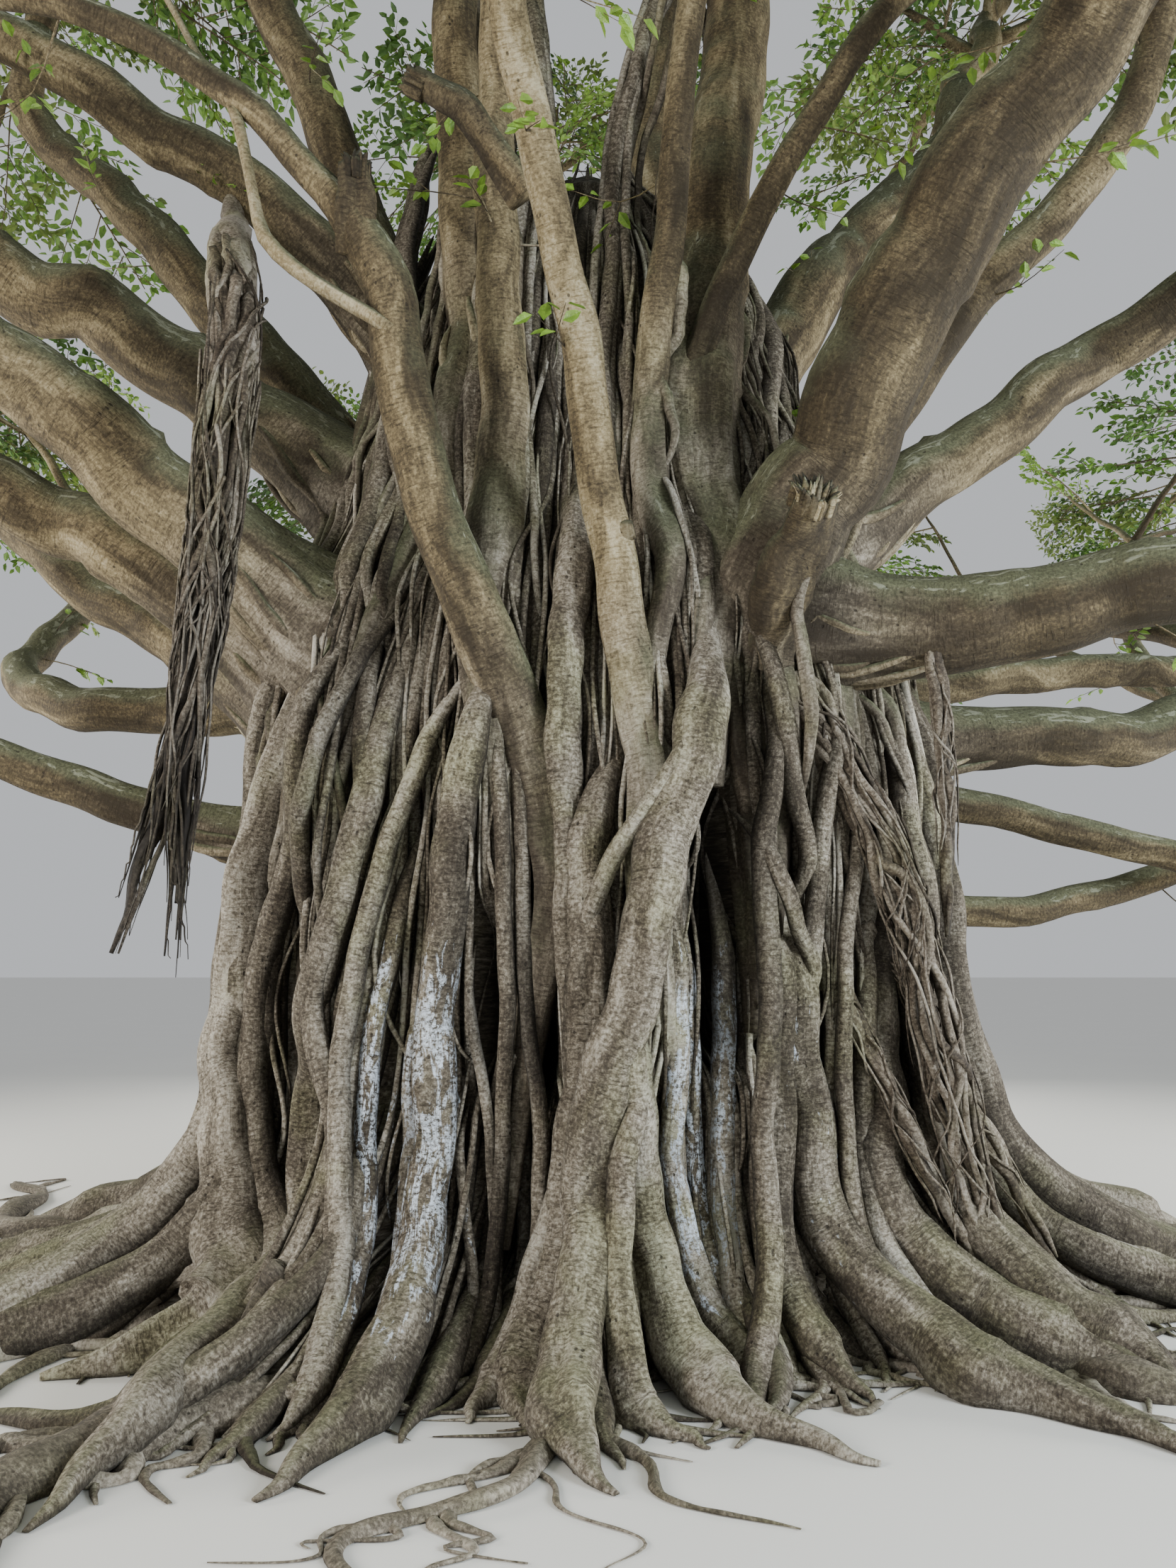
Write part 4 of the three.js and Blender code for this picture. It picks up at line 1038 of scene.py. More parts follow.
def grow_crown():
    """The stems, branches and sprays of every mass, by the solids' rule.

    A stem goes on from the bough's tip, branches leave it at the golden angle, and sprays leave each branch
    to its left and right in turn, the last one from its end. A side bough ends in a fan of small branches.
    """
    stems, branches, sprays = [], [], []
    for mass in MASSES:
        name = next(n for n, b in BOUGHS.items() if b[8] == mass["name"] and not b[9])
        line = BOUGH_CURVES[name]
        along = unit(line[-1] - line[-2])
        tip = line[-1] + along * GAP
        stem_length = 0.6 * room_ahead(mass, tip, along)
        stem_end = tip + along * stem_length
        stem_girth = BOUGHS[name][7] * TIP_SHARE
        stems.append((mass["name"], tip, stem_end, stem_girth, stem_girth * 0.5))
        for b in range(BRANCHES):
            seed = mass["seed"] * 50 + b
            start = tip + (stem_end - tip) * (0.25 + 0.7 * (b + 1) / BRANCHES)
            lean = 12 if b == BRANCHES - 1 else BRANCH_LEAN + 35 * float(chance(seed + 0.1))
            way = leaned(along, lean, mass["seed"] * 31 + b * GOLDEN_ANGLE)
            end = start + way * 0.55 * room_ahead(mass, start, way)
            grown = grow_sprays(mass, start, end, way, seed, SPRAYS)
            if grown:
                branches.append((mass["name"], start, end, stem_girth * 0.45, stem_girth * 0.2))
                sprays += grown + fill_sprays(mass, start, end, way, seed, FILL_SPRAYS)
        sprays += fill_sprays(mass, tip, stem_end, along, mass["seed"] * 77, FILL_SPRAYS)
    for name, bough in BOUGHS.items():
        if bough[9]:
            mass = MASS[bough[8]]
            line = BOUGH_CURVES[name]
            along = unit(line[-1] - line[-2])
            thick = bough[7] * TIP_SHARE
            seed = 9000 + int(bough[0]) * 10
            for b in range(4):
                way = leaned(along, 18 + 34 * float(chance(seed + b + 0.4)), seed + b * GOLDEN_ANGLE)
                length = min(0.6 * room_ahead(mass, line[-1], way), 1.9)
                if length > 0.4:
                    end = line[-1] + way * length
                    branches.append((mass["name"], line[-1] - along * 0.05, end, thick * 0.6, thick * 0.2))
                    sprays += grow_sprays(mass, line[-1], end, way, seed * 3 + b, 3, 0.75)
    return stems, branches, sprays


def fill_sprays(mass, start, end, way, seed, count):
    """Smaller sprays between the solids' own, round a branch at the golden angle, in the same space."""
    grown = []
    for s in range(count):
        root = start + (end - start) * (0.15 + 0.8 * (s + 0.5) / count)
        along = leaned(way, 62 + 16 * float(chance(seed + s * 7.7)), seed * 13 + s * GOLDEN_ANGLE)
        grown += spray_in_space(mass, root, along, seed * 17 + s + 5000, FILL_SCALE)
    return grown


def grow_sprays(mass, start, end, way, seed, count, scale=1.0):
    """The sprays of one branch that stay in the mass's space and clear of the boughs."""
    grown = []
    for s in range(count):
        spray_seed = seed * 10 + s
        last = s == count - 1
        root = start + (end - start) * (0.95 if last else 0.3 + 0.66 * (s + 1) / count)
        along = leaned(way, 6 if last else SPRAY_LEAN, 90 + s * 180 + 50 * float(chance(spray_seed)))
        grown += spray_in_space(mass, root, along, spray_seed, scale)
    return grown


def spray_in_space(mass, root, along, seed, scale):
    """A list of one spray, made smaller until it stays in the mass's space and off the boughs, or of none."""
    along = unit(np.array([along[0], along[1], along[2] * 0.6 - 0.1]))
    axes = spray_frame(along, SPRAY_ROLL * (2 * float(chance(seed + 0.6)) - 1))
    size = scale * (0.85 + 0.3 * float(chance(seed + 0.3)))
    for share in (1, 0.85, 0.7):
        half = np.array([SPRAY_LENGTH, SPRAY_WIDTH, SPRAY_THICKNESS]) * size * share / 2
        corners = np.concatenate([np.eye(3), -np.eye(3)]) * half + [half[0], 0, 0]
        corners = root + corners @ axes
        if inside_space(mass, corners).all() and clear_of_boughs(corners, BARK_ROOM).all():
            return [{"mass": mass["name"], "root": root, "axes": axes, "size": size * share, "seed": seed}]
    return []


# Limbs


def way_of(places, facing, girths):
    """Rows of place (3), facing (3) and girth (1), which make one way for free_tubes."""
    places = np.asarray(places, float)
    return np.concatenate([places, np.broadcast_to(facing, places.shape), np.reshape(girths, (-1, 1))], 1)


def free_tubes(ways, rings, sides, rng, lump=0.1, wander=0.1, seed=0, tints=(0.2, 0.8), mixes=(0, 0, 0, 0)):
    """Tubes along free ways, carried by a spline.

    Mixes gives the second and third channels of bark_mix at the start and at the end, for all tubes or each.
    The third channel darkens the bark, and the side of each tube turned away from its facing is darker still,
    as painted shade.
    """
    fine = np.stack([spline_through(way, 120) for way in ways])
    rows = evenly(fine, rings)
    n = len(rows)
    along = travelled(rows)
    tangent = unit(np.gradient(rows[..., :3], axis=1))
    facing = unit(rows[..., 3:6])
    sideways = unit(np.cross(tangent, facing))
    girth = np.maximum(rows[..., 6], 0.001)
    sway = waves(rng, n, along, 0.7, wander, 3) * girth
    lift = waves(rng, n, along, 0.6, wander, 2) * girth
    centres = rows[..., :3] + sideways * sway[..., None] + facing * lift[..., None]
    tubes = sweep(centres, girth, facing, sides, lumps(rng, n, along, sides, lump), seed)
    tint = rng.uniform(*tints, n)
    mixes = np.broadcast_to(np.array(mixes, float), (n, 4))
    t = np.linspace(0, 1, rings)[None]
    young = mixes[:, :1] + (mixes[:, 1:2] - mixes[:, :1]) * np.clip(2.2 * t, 0, 1)
    # darker from one end to the other as mixes give, and painted shade on the side turned away from facing
    shade = mixes[:, 2:3] + (mixes[:, 3:] - mixes[:, 2:3]) * t
    inward_shade = np.clip((0.2 - np.cos(angles_of(sides))) / 1.2, 0, 1)
    deep = np.clip(shade[..., None] + 0.6 * inward_shade, 0, 1)
    return finished(tubes, tint, young, deep)


def bough_rows(name):
    """Rows of place, girth and age along a bough. Age is 0 on the trunk and 1 where the bark is a bough's.

    A steep bough starts as a root lower down on the trunk's skin, which it leaves little by little. Any other
    starts inside the trunk, and swells towards its foot by an exponential.
    """
    azimuth, height, _, climb, _, _, _, girth, _, aside = BOUGHS[name]
    line = BOUGH_CURVES[name]
    length = np.linalg.norm(np.diff(line, axis=0), axis=1).sum()
    i = np.arange(0, BOUGH_STEPS + 1, 10)
    far = i / BOUGH_STEPS * length - FOOT_DEPTH - 0.1
    radius = bough_radius(girth, i / BOUGH_STEPS)
    if aside:
        radius = radius * (1 - 0.4 * np.clip((i / BOUGH_STEPS - 0.86) / 0.14, 0, 1) ** 2)
    if name in BROKEN_BOUGHS:
        where, left = BROKEN_BOUGHS[name]
        radius = radius * (1 - (1 - left) * np.clip((i - where + 4) / 14, 0, 1))
    if climb <= STEEP:
        radius = radius * (1 + 0.4 * np.exp(-np.maximum(0, far) / 0.26))
        return np.concatenate([line[i], np.stack([radius, np.clip(far / 1.0, 0, 1)], 1)], 1)
    drop = np.array([2.0, 1.45, 0.95, 0.5, 0.15])
    z = np.maximum(0.3, height - drop)
    size = girth * np.array([0.22, 0.40, 0.62, 0.85, 1.02])
    turn = azimuth + np.array([7, 5, 2, -1, 0]) * (1 if chance(azimuth) > 0.5 else -1)
    place = polar(turn, trunk_radius(turn, z) + 0.10 - 0.05 * drop - size, z)
    lead = np.concatenate([place, np.stack([size, 0 * size], 1)], 1)
    keep = far > 0.14
    rest = np.concatenate([line[i], np.stack([radius, np.clip(far / 0.9, 0, 1)], 1)], 1)[keep]
    return np.concatenate([lead, rest])


def bough_part(names, rings, sides):
    """Boughs: tubes along the solids' curves, with a fluted foot, knots, and uneven girth.

    Each knot is a bump, a product of two bell curves, one along the bough and one round it.
    """
    rng = np.random.default_rng(5)
    n = len(names)
    girths = np.array([BOUGHS[name][7] for name in names])[:, None]
    fine = np.stack([spline_through(bough_rows(name), 400) for name in names])
    rows = evenly(fine, rings, np.linspace(0, 1, rings) ** 1.3)
    along = travelled(rows)
    length = along[:, -1:]
    young = np.clip(rows[..., 4], 0, 1)
    angle = angles_of(sides)
    profile = lumps(rng, n, along, sides, 0.024)
    for lobes in (5, 7, 9):
        phase = rng.uniform(0, 6.3, (n, 1, 1))
        furrows = np.sin(lobes * angle + phase + 0.8 * along[..., None])
        profile += 0.06 * (1 - young[..., None]) ** 1.5 * furrows
    for _ in range(16):
        where = rng.uniform(0.2, 0.95, (n, 1, 1)) * length[..., None]
        bearing = rng.uniform(0, 2 * np.pi, (n, 1, 1))
        width = rng.uniform(0.03, 0.07, (n, 1, 1))
        height = rng.uniform(0.04, 0.18, (n, 1, 1))
        round_it = np.cos(angle - bearing) - 1
        profile += height * np.exp(-(((along[..., None] - where) / width) ** 2)) * np.exp(round_it * 9)
    chord = unit(rows[:, -1, :3] - rows[:, rings // 3, :3])
    facing = np.repeat(unit(np.cross(UP, chord))[:, None], rings, 1)
    held = window(along, 0.8, length - 0.2, 0.8)
    sway = waves(rng, n, along, 1.9, 0.12, 3) * girths * held
    lift = waves(rng, n, along, 1.7, 0.12, 3) * girths * held
    centres = rows[..., :3] + facing * sway[..., None] + UP * lift[..., None]
    tubes = sweep(centres, rows[..., 3], facing, sides, profile, 11)
    # each bough's tint is partly painted light and shade
    return finished(tubes, [BOUGH_TINTS_AND_SHADE.get(name, 0.35) for name in names], young)


# The steps of a clinging root towards the bough's foot: share of its reach, lift off the bark, share of girth
CLINGING_STEPS = ((1.0, 0.45, 0.10), (0.66, 0.9, 0.65), (0.33, 0.98, 1.0), (0.0, 0.85, 1.1))


def bough_foot_part(rings, sides):
    """Roots that cling to a bough near its foot and run down over the trunk, so that the two grow together.

    A steep bough has them all round. The ones that stand bare in front of the trunk have none.
    """
    rng = np.random.default_rng(8)
    ways = []
    for name, (_, _, _, climb, _, _, _, girth, _, _) in BOUGHS.items():
        if name in BARE_BOUGHS:
            continue
        line = BOUGH_CURVES[name]
        length = np.linalg.norm(np.diff(line, axis=0), axis=1).sum()
        steep = climb > STEEP
        count = int((6 if steep else 7) * (0.6 + 2 * girth))
        widest = 180 if steep else 100
        for j in range(count):
            swing = math.radians(widest * (2 * (j + rng.uniform(0.2, 0.8)) / count - 1))
            reach = rng.uniform(0.3, 1.3 if steep else 0.9)
            size = rng.uniform(0.018, 0.04) * (0.75 + 1.2 * girth)
            rows = []
            for far, lift, share in CLINGING_STEPS:
                far = reach * far
                i = int(round((FOOT_DEPTH + 0.1 + far) / length * BOUGH_STEPS))
                tangent = unit(line[i + 1] - line[i - 1])
                side = unit(np.cross(UP, tangent))
                under = np.cross(side, tangent)
                under = under if under[2] < 0 else -under
                bend = swing + 0.35 * math.sin(3 * far + j)
                out = unit(math.cos(bend) * under + math.sin(bend) * side)
                around = girth * (1 + 0.4 * math.exp(-far / 0.26)) * lift
                rows.append([*(line[i] + out * around), *out, size * share])
            last = rows[-1][:3]
            start = math.degrees(math.atan2(last[1], last[0]))
            drift = rng.normal(0, 6)
            drop = rng.uniform(0.7, 2.6)
            for share in (0.18, 0.45, 0.75, 1.0):
                z = max(0.15, last[2] - 0.1 - drop * share)
                turn = start + drift * share + rng.normal(0, 1.5)
                place = polar(turn, trunk_radius(turn, z) + 0.04 - 0.13 * share**2, z)
                rows.append([*place, *direction(turn, 0), size * (1.1 - share**3)])
            ways.append(np.array(rows))
    return free_tubes(ways, rings, sides, rng, 0.08, 0.12, 400, (0.3, 0.7), (0.9, 0.0, 0.0, 0.0))


def dropped_part(count, rings, sides):
    """Roots that drop from the upright boughs on to the trunk's upper skin, run down it and sink into it."""
    rng = np.random.default_rng(52)
    ways = []
    for k in range(count):
        line = BOUGH_CURVES[DROPPING[k % len(DROPPING)]]
        near = (np.hypot(line[:, 0], line[:, 1]) < 1.7) & (line[:, 2] > 5.0) & (line[:, 2] < 8.3)
        top = line[rng.choice(np.nonzero(near)[0])]
        turn = math.degrees(math.atan2(top[1], top[0])) + rng.normal(0, 5)
        start = math.hypot(top[0], top[1])
        low = rng.uniform(3.2, 4.4)
        size = rng.uniform(0.3, 1.0) ** 1.5 * 0.04
        rows = [[*top, *direction(turn, 0), size * 0.6]]
        for share in (0.1, 0.3, 0.5, 0.7, 0.85, 1.0):
            z = top[2] + (low - top[2]) * share
            bent = turn + rng.normal(0, 1.5)
            skin = trunk_radius(bent, z) + 0.06 - top_droop(z) - 0.2 * max(0.0, share - 0.7) / 0.3
            far = max(skin, start * (1 - share) + skin * share) if share < 0.5 else skin
            rows.append([*polar(bent, far, z), *direction(bent, 0), size * (1.1 - share**2)])
        ways.append(np.array(rows))
    return free_tubes(ways, rings, sides, rng, 0.1, 0.4, 450, (0.25, 0.75), (0.5, 0.0, 0.0, 0.1))


def stub_part(rings, sides):
    """Broken stubs with splintered ends, the knot of a fallen one, and thin limbs that leave a bough."""
    rng = np.random.default_rng(61)
    parts = []
    for k, (name, (places, girths, tint, mix)) in enumerate(STUBS.items()):
        places = np.array(places, float)
        way = way_of(places, STUB_FACING, girths)
        lump = 0.16 if name in SPLINTERED else 0.1
        parts.append(free_tubes([way], rings, sides, rng, lump, 0.1, 1300 + 20 * k, (tint, tint + 0.01), mix))
        if name not in SPLINTERED:
            continue
        end = places[-1]
        along = unit(places[-1] - places[-2])
        side = unit(np.cross(along, STUB_FACING))
        over = np.cross(side, along)
        rise = unit(along + np.array([0.0, 0.5, 0.7]))
        shards = []
        young = []
        light = SPLINTERED[name]
        for j in range(SHARDS):
            angle = rng.uniform(0, 2 * np.pi)
            share = rng.uniform(0.05, 0.8) if j % 2 else rng.uniform(0.85, 1.0)
            off = (side * math.cos(angle) + over * math.sin(angle)) * girths[-1] * share
            tip = rise * rng.uniform(0.02, 0.10 - 0.05 * share) + off * 0.3 + rng.normal(0, 0.006, 3)
            size = rng.uniform(0.007, 0.020)
            bright = off[2] < 0.2 * girths[-1] and j % 3
            young.append((1, 1, 0.55 - 0.5 * light, 0.5 - 0.45 * light) if bright else (1, 1, 0.55, 0.85))
            places = (end + off * 0.95 - along * 0.07, end + off + along * 0.01, end + off + tip)
            shards.append(way_of(places, unit(off), (size, size, 0.0015)))
        tints = (0.6 * light, 0.6 * light + 0.35)
        parts.append(free_tubes(shards, 8, 5, rng, 0.15, 0.1, 1500 + 70 * k, tints, young))
    return joined(parts)


def bundle_ways(curve, girth, count, rng, turns, thin, span=((0, 0), (1, 1)), reach=(0.45, 0.95), fork=0.0):
    """Strands that wind round a hanging root's own curve, inside its girth, as ways for free_tubes.

    A strand's distance from the curve is a share of the girth. Its angle turns evenly along the curve and
    sways by a sine, so that strands cross. Span gives where on the curve strands start and end, each as a
    range. With fork, the lower ends part into three tails that far from each other.
    """
    line = spline_through(curve, 61)
    tangent = unit(np.gradient(line, axis=0))
    out = unit(line * [1, 1, 0])
    out = unit(out - tangent * (out * tangent).sum(1, keepdims=True))
    across = np.cross(tangent, out)
    ways = []
    for j in range(count):
        t = np.linspace(rng.uniform(*span[0]), rng.uniform(*span[1]), 16)
        k = np.round(t * 60).astype(int)
        start = 2 * np.pi * j / count + rng.uniform(-0.4, 0.4)
        angle = start + rng.choice([-1, 1]) * turns * 2 * np.pi * t
        angle = angle + 0.9 * np.sin(t * rng.uniform(8, 20) + start)
        far = girth(t) * rng.uniform(*reach)
        heading = out[k] * np.cos(angle)[:, None] + across[k] * np.sin(angle)[:, None]
        tail = (j % 3 - 1) * 2.1 + 0.4
        apart = out[k] * math.cos(tail) + across[k] * math.sin(tail)
        apart = apart * (fork * np.clip((t - 0.72) / 0.28, 0, 1) ** 1.3)[:, None]
        size = rng.uniform(*thin) * (1.05 - 0.4 * t) * np.sqrt(np.clip((t[-1] - t) / 0.1, 0.12, 1))
        ways.append(way_of(line[k] + heading * far[:, None] + apart, heading, size))
    return ways


def root_girth(thick, thin, t):
    """A hanging root's girth: thin at both ends and thickest near its middle, by a half sine."""
    return thin + (thick - thin) * np.sin(np.pi * np.minimum(1, 0.12 + np.asarray(t) * 0.95)) ** 0.8


def swelling_girth(thick, thin, t):
    """A propping root's girth, which doubles over its lower half."""
    return root_girth(thick, thin, t) * (1 + 1.1 * np.maximum(0, t - 0.5) / 0.5)


def slim_girth(thick, thin, t):
    """The girth that a few strands keep to, so that a net of thinner ones lies round them."""
    return root_girth(thick, thin, t) * 0.4


def braid_girth(thick, thin, t):
    """The big hanging root's girth, which narrows towards its foot."""
    return root_girth(thick, thin, t) * (0.74 - 0.22 * t)


def tail_girth(t):
    """The girth of a tail, the same all along."""
    return 0.042 + 0 * t


def hanging_bundle(name, rng):
    """The big hanging root: a smooth stem from a bough, a braid with a net of rootlets, and dark tails."""
    *places, thick, thin = AERIAL_ROOTS[name]
    curve = [polar(*at) for at in places]
    bough = BOUGH_CURVES["side_bough_left_steep"]
    line = spline_through(curve, 12)
    stems = []
    for aside, size, last in ((0.0, 1.0, 7), (-0.075, 0.62, 6), (0.06, 0.46, 8)):
        start = [bough[HUNG_AT], bough[HUNG_AT] + [0.0, -0.03, -0.21]]
        places = np.concatenate([start, line[2:last] + [aside, 0.02, 0.0]])
        t = np.linspace(0, 1, len(places))
        girth = size * 0.084 * np.sqrt(np.clip((1 - t) / 0.4, 0.05, 1)) * (0.4 + 0.6 * np.minimum(1, t / 0.3))
        stems.append(way_of(places, (0.0, -1.0, 0.3), girth))

    body = partial(braid_girth, thick, thin)
    tail = tail_girth
    low = ((0.18, 0.34), (0.55, 0.85))
    high = ((0.28, 0.45), (0.8, 1.0))
    end = ((0.62, 0.68), (0.88, 1.0))
    ways = bundle_ways(curve, body, 12, rng, 0.25, (0.020, 0.036), low, (0.3, 0.85), 0.0)
    ways += bundle_ways(curve, body, 22, rng, 0.3, (0.012, 0.024), high, (0.4, 1.0), 0.15)
    spans = ((0.24, 0.55), (0.7, 0.99))
    net = bundle_ways(curve, body, 40, rng, 1.2, (0.005, 0.010), spans, (0.9, 1.2), 0.15)
    tails = bundle_ways(curve, tail, 3, rng, 0.3, (0.034, 0.046), end, (0.1, 0.3), 0.18)
    spans = ((0.6, 0.85), (0.85, 1.0))
    hairs = bundle_ways(curve, tail, 30, rng, 1.2, (0.006, 0.012), spans, (0.8, 1.25), 0.18)
    parts = [
        free_tubes(stems, 40, 12, rng, 0.07, 0.1, 600, (0.8, 0.95)),
        free_tubes(ways, 52, 7, rng, 0.12, 0.3, 610, (0.25, 0.9), (0, 0, 0.0, 0.75)),
        free_tubes(net, 44, 4, rng, 0.1, 0.8, 700, (0.2, 0.9), (0, 0, 0.15, 0.8)),
        free_tubes(tails, 36, 12, rng, 0.26, 0.3, 800, (0.0, 0.2), (0, 0, 0.6, 0.8)),
        free_tubes(hairs, 26, 4, rng, 0.2, 0.9, 830, (0.0, 0.3), (0, 0, 0.5, 0.8)),
    ]
    return joined(parts)


def propping_bundle(name, rng, seed):
    """A thinner hanging root, or a root that props a bough: strands with a net of rootlets round them."""
    *places, thick, thin = AERIAL_ROOTS[name]
    curve = [polar(*at) for at in places]
    dark = PROP_SHADES[name]
    if name == "prop_root_twisted":
        body = partial(swelling_girth, thick, thin)
        ways = bundle_ways(curve, body, 12, rng, 0.6, (0.016, 0.032))
        net = bundle_ways(curve, body, 26, rng, 1.4, (0.005, 0.011), ((0.0, 0.4), (0.5, 1.0)), (0.8, 1.2))
    else:
        body, girth = partial(slim_girth, thick, thin), partial(root_girth, thick, thin)
        ways = bundle_ways(curve, body, 3, rng, 0.35, (thin * 0.6, thin * 0.85))
        net = bundle_ways(curve, girth, 7, rng, 0.9, (0.005, 0.011), ((0.0, 0.3), (0.6, 1.0)), (0.7, 1.05))
    strands = free_tubes(ways, 52, 8, rng, 0.12, 0.25, seed, (0.2, 0.8), (0, 0, 0.1, dark))
    return joined([strands, free_tubes(net, 40, 4, rng, 0.1, 0.9, seed + 20, (0.2, 0.9), (0, 0, 0.2, dark))])


def aerial_parts():
    """The hanging and propping roots, each a bundle of strands."""
    rng = np.random.default_rng(21)
    parts = {}
    for name in AERIAL_ROOTS:
        big = name == "aerial_root_left"
        parts[name] = hanging_bundle(name, rng) if big else propping_bundle(name, rng, 900 + len(parts) * 50)
    return parts


def root_heading(azimuth, sway, t):
    """The azimuth of a surface root at shares t of its length: it sways ever further, by two sines."""
    return azimuth + sway * np.sin(t * 5.2) * t + 2.0 * np.sin(t * 17 + azimuth) * t


def surface_root_part(rings, sides):
    """Surface roots: tubes half sunk in the ground that snake out from the legs, thinning to their ends."""
    rng = np.random.default_rng(12)
    t = np.linspace(0, 1, 120)
    main, side = [], []
    for azimuth, length, girth, sway in SURFACE_ROOTS.values():
        inner = trunk_radius(azimuth, 0.06) - 0.5
        turn = root_heading(azimuth, sway, t)
        radius = girth * (1.15 - 0.95 * t**0.8) * (1 + 0.14 * np.sin(t * 23 + azimuth))
        place = polar(turn, inner + (length + 0.5) * t, -0.12 * girth + 0 * t)
        main.append(way_of(place, UP, radius))
        for k in range(10):
            start = rng.uniform(0.15, 0.85)
            way = rng.choice([-1, 1]) * rng.uniform(9, 26)
            far = min(rng.uniform(0.5, 1.25) * (1.2 - start), (length + 0.5) * (1 - start))
            turn = root_heading(azimuth, sway, start) + way * t**0.8 * far
            turn = turn + 2.5 * t * np.sin(t * rng.uniform(5, 11) + k)
            size = girth * (1.1 - 0.9 * start**0.8) * rng.uniform(0.2, 0.55)
            radius = size * (1.1 - 0.95 * t)
            place = polar(turn, inner + (length + 0.5) * start + far * t, -0.1 * radius)
            side.append(way_of(place, UP, radius))
    parts = []
    sets = ((main, rings, sides), (side, rings // 2, sides // 2))
    for k, (ways, count, corners) in enumerate(sets):
        rows = evenly(np.stack(ways), count)
        n = len(rows)
        along = np.repeat(np.linspace(0, 2.0, count)[None], n, 0)
        rows[..., 6] *= 1 + waves(rng, n, along, 0.5, 0.12, 2)
        profile = lumps(rng, n, along, corners, 0.10)
        if k == 0:
            profile = profile + creases(rng, n, along, corners, 0.25)
        tubes = sweep(rows[..., :3], rows[..., 6], rows[..., 3:6], corners, profile, 90 + k)
        parts.append(finished(tubes, rng.uniform(0.3, 0.8, n)))
    return joined(parts)


# Twigs and leaves


def branch_part(limbs, rings, sides, bend):
    """Stems and branches: straight tapering limbs with a slight wander that is nought at both ends."""
    rng = np.random.default_rng(3)
    _, start, end, *thick = (np.array(column) for column in zip(*limbs))
    thick = np.stack(thick, 1)
    t = np.linspace(0, 1, rings)
    centres = start[:, None] + (end - start)[:, None] * t[None, :, None]
    along = np.linalg.norm(end - start, axis=1)[:, None] * t[None]
    side = unit(np.cross(UP, unit(end - start)) + 1e-6)
    bow = np.sin(np.pi * t) * bend
    wave = waves(rng, len(limbs), along, 1.1, 1.0, 2) * bow * thick[:, :1] * 2
    rise = waves(rng, len(limbs), along, 0.9, 1.0, 2) * bow * thick[:, :1] * 2
    centres = centres + side[:, None] * wave[..., None] + UP * rise[..., None]
    radius = thick[:, :1] + (thick[:, 1:] - thick[:, :1]) * t[None]
    facing = np.repeat(side[:, None], rings, 1)
    tubes = sweep(centres, radius, facing, sides, lumps(rng, len(limbs), along, sides, 0.06), 700)
    return finished(tubes, rng.uniform(0.2, 0.8, len(limbs)), 1.0)


def leaf_frames(rng, start, way, length, pitch, lift):
    """Where leaves sit along one twig, to its left and right in turn, each leaning out at about 50 degrees.

    Gives rows of place (3), along (3) and face (3), the last two being the leaf's own axes.
    """
    count = max(2, int(length / pitch))
    t = (np.arange(count) + 0.6) / count
    place = start + way * (length * t)[:, None]
    flat = unit(np.cross(UP, way))
    side = np.where(np.arange(count) % 2, 1.0, -1.0) * np.where(t > 0.93, 0.25, 1.0)
    lean = np.radians(rng.uniform(38, 66, count)) * np.abs(side)
    along = way * np.cos(lean)[:, None] + flat * (np.sign(side) * np.sin(lean))[:, None]
    along = unit(along + np.stack([0 * t, 0 * t, rng.uniform(-0.65, 0.2, count)], -1))
    face = UP + rng.normal(0, lift, (count, 3))
    face = unit(face - along * (face * along).sum(1, keepdims=True))
    return np.concatenate([place, along, face], 1)


def spray_template(seed, leaf_pitch):
    """One spray in its own frame, x along it: twigs as (start, end) rows, and leaf frames.

    Side twigs leave the main twig to left and right in turn and reach to an oval as long and wide as the
    spray. Each carries small twigs of its own in the same way, and leaves grow on them all.
    """
    rng = np.random.default_rng(seed)
    main = np.array([0.94 * SPRAY_LENGTH, 0, 0])
    x_axis = np.array([1.0, 0, 0])
    twigs, small, leaves = [], [], [leaf_frames(rng, main * 0.62, x_axis, main[0] * 0.4, leaf_pitch, 0.55)]
    count = 11
    for k in range(count):
        share = 0.07 + 0.86 * (k + rng.uniform(0.2, 0.8)) / count
        side = 1 if k % 2 else -1
        lean = math.radians(rng.uniform(40, 60))
        start = main * share
        oval = math.sqrt(max(0.0, 1 - (2 * min(share + 0.14, 0.98) - 1) ** 2))
        length = min(0.5 * SPRAY_WIDTH * oval / math.sin(lean), (SPRAY_LENGTH - start[0]) / math.cos(lean))
        length *= rng.uniform(0.8, 1.0)
        way = unit(np.array([math.cos(lean), side * math.sin(lean), rng.uniform(-0.3, 0.3)]))
        twigs.append((start, start + way * length))
        leaves.append(leaf_frames(rng, start + way * length * 0.25, way, length * 0.78, leaf_pitch, 0.6))
        for m in range(3):
            along = 0.22 + 0.7 * (m + rng.uniform(0.1, 0.9)) / 3
            turn = (1 if (m + k) % 2 else -1) * rng.uniform(35, 58)
            small_way = unit(turned(way, UP, turn) + np.array([0, 0, rng.uniform(-0.35, 0.3)]))
            small_length = min(0.34, 0.5 * length) * rng.uniform(0.6, 1.0) * (1.15 - 0.6 * along)
            root = start + way * length * along
            small.append((root, root + small_way * small_length))
            leaves.append(leaf_frames(rng, root, small_way, small_length * 1.05, leaf_pitch, 0.7))
    return {"main": main, "twigs": twigs, "small": small, "leaves": np.concatenate(leaves)}


def leaf_shape(length, width):
    """A leaf of two folded quads: a pointed oval, its halves raised from the midrib, its tip drooping."""
    return np.array(
        [
            [0.0, 0.0, 0.0],
            [0.32 * length, 0.5 * width, 0.13 * width],
            [0.70 * length, 0.36 * width, 0.05 * width],
            [1.0 * length, 0.0, -0.16 * width],
            [0.70 * length, -0.36 * width, 0.05 * width],
            [0.32 * length, -0.5 * width, 0.13 * width],
        ]
    )


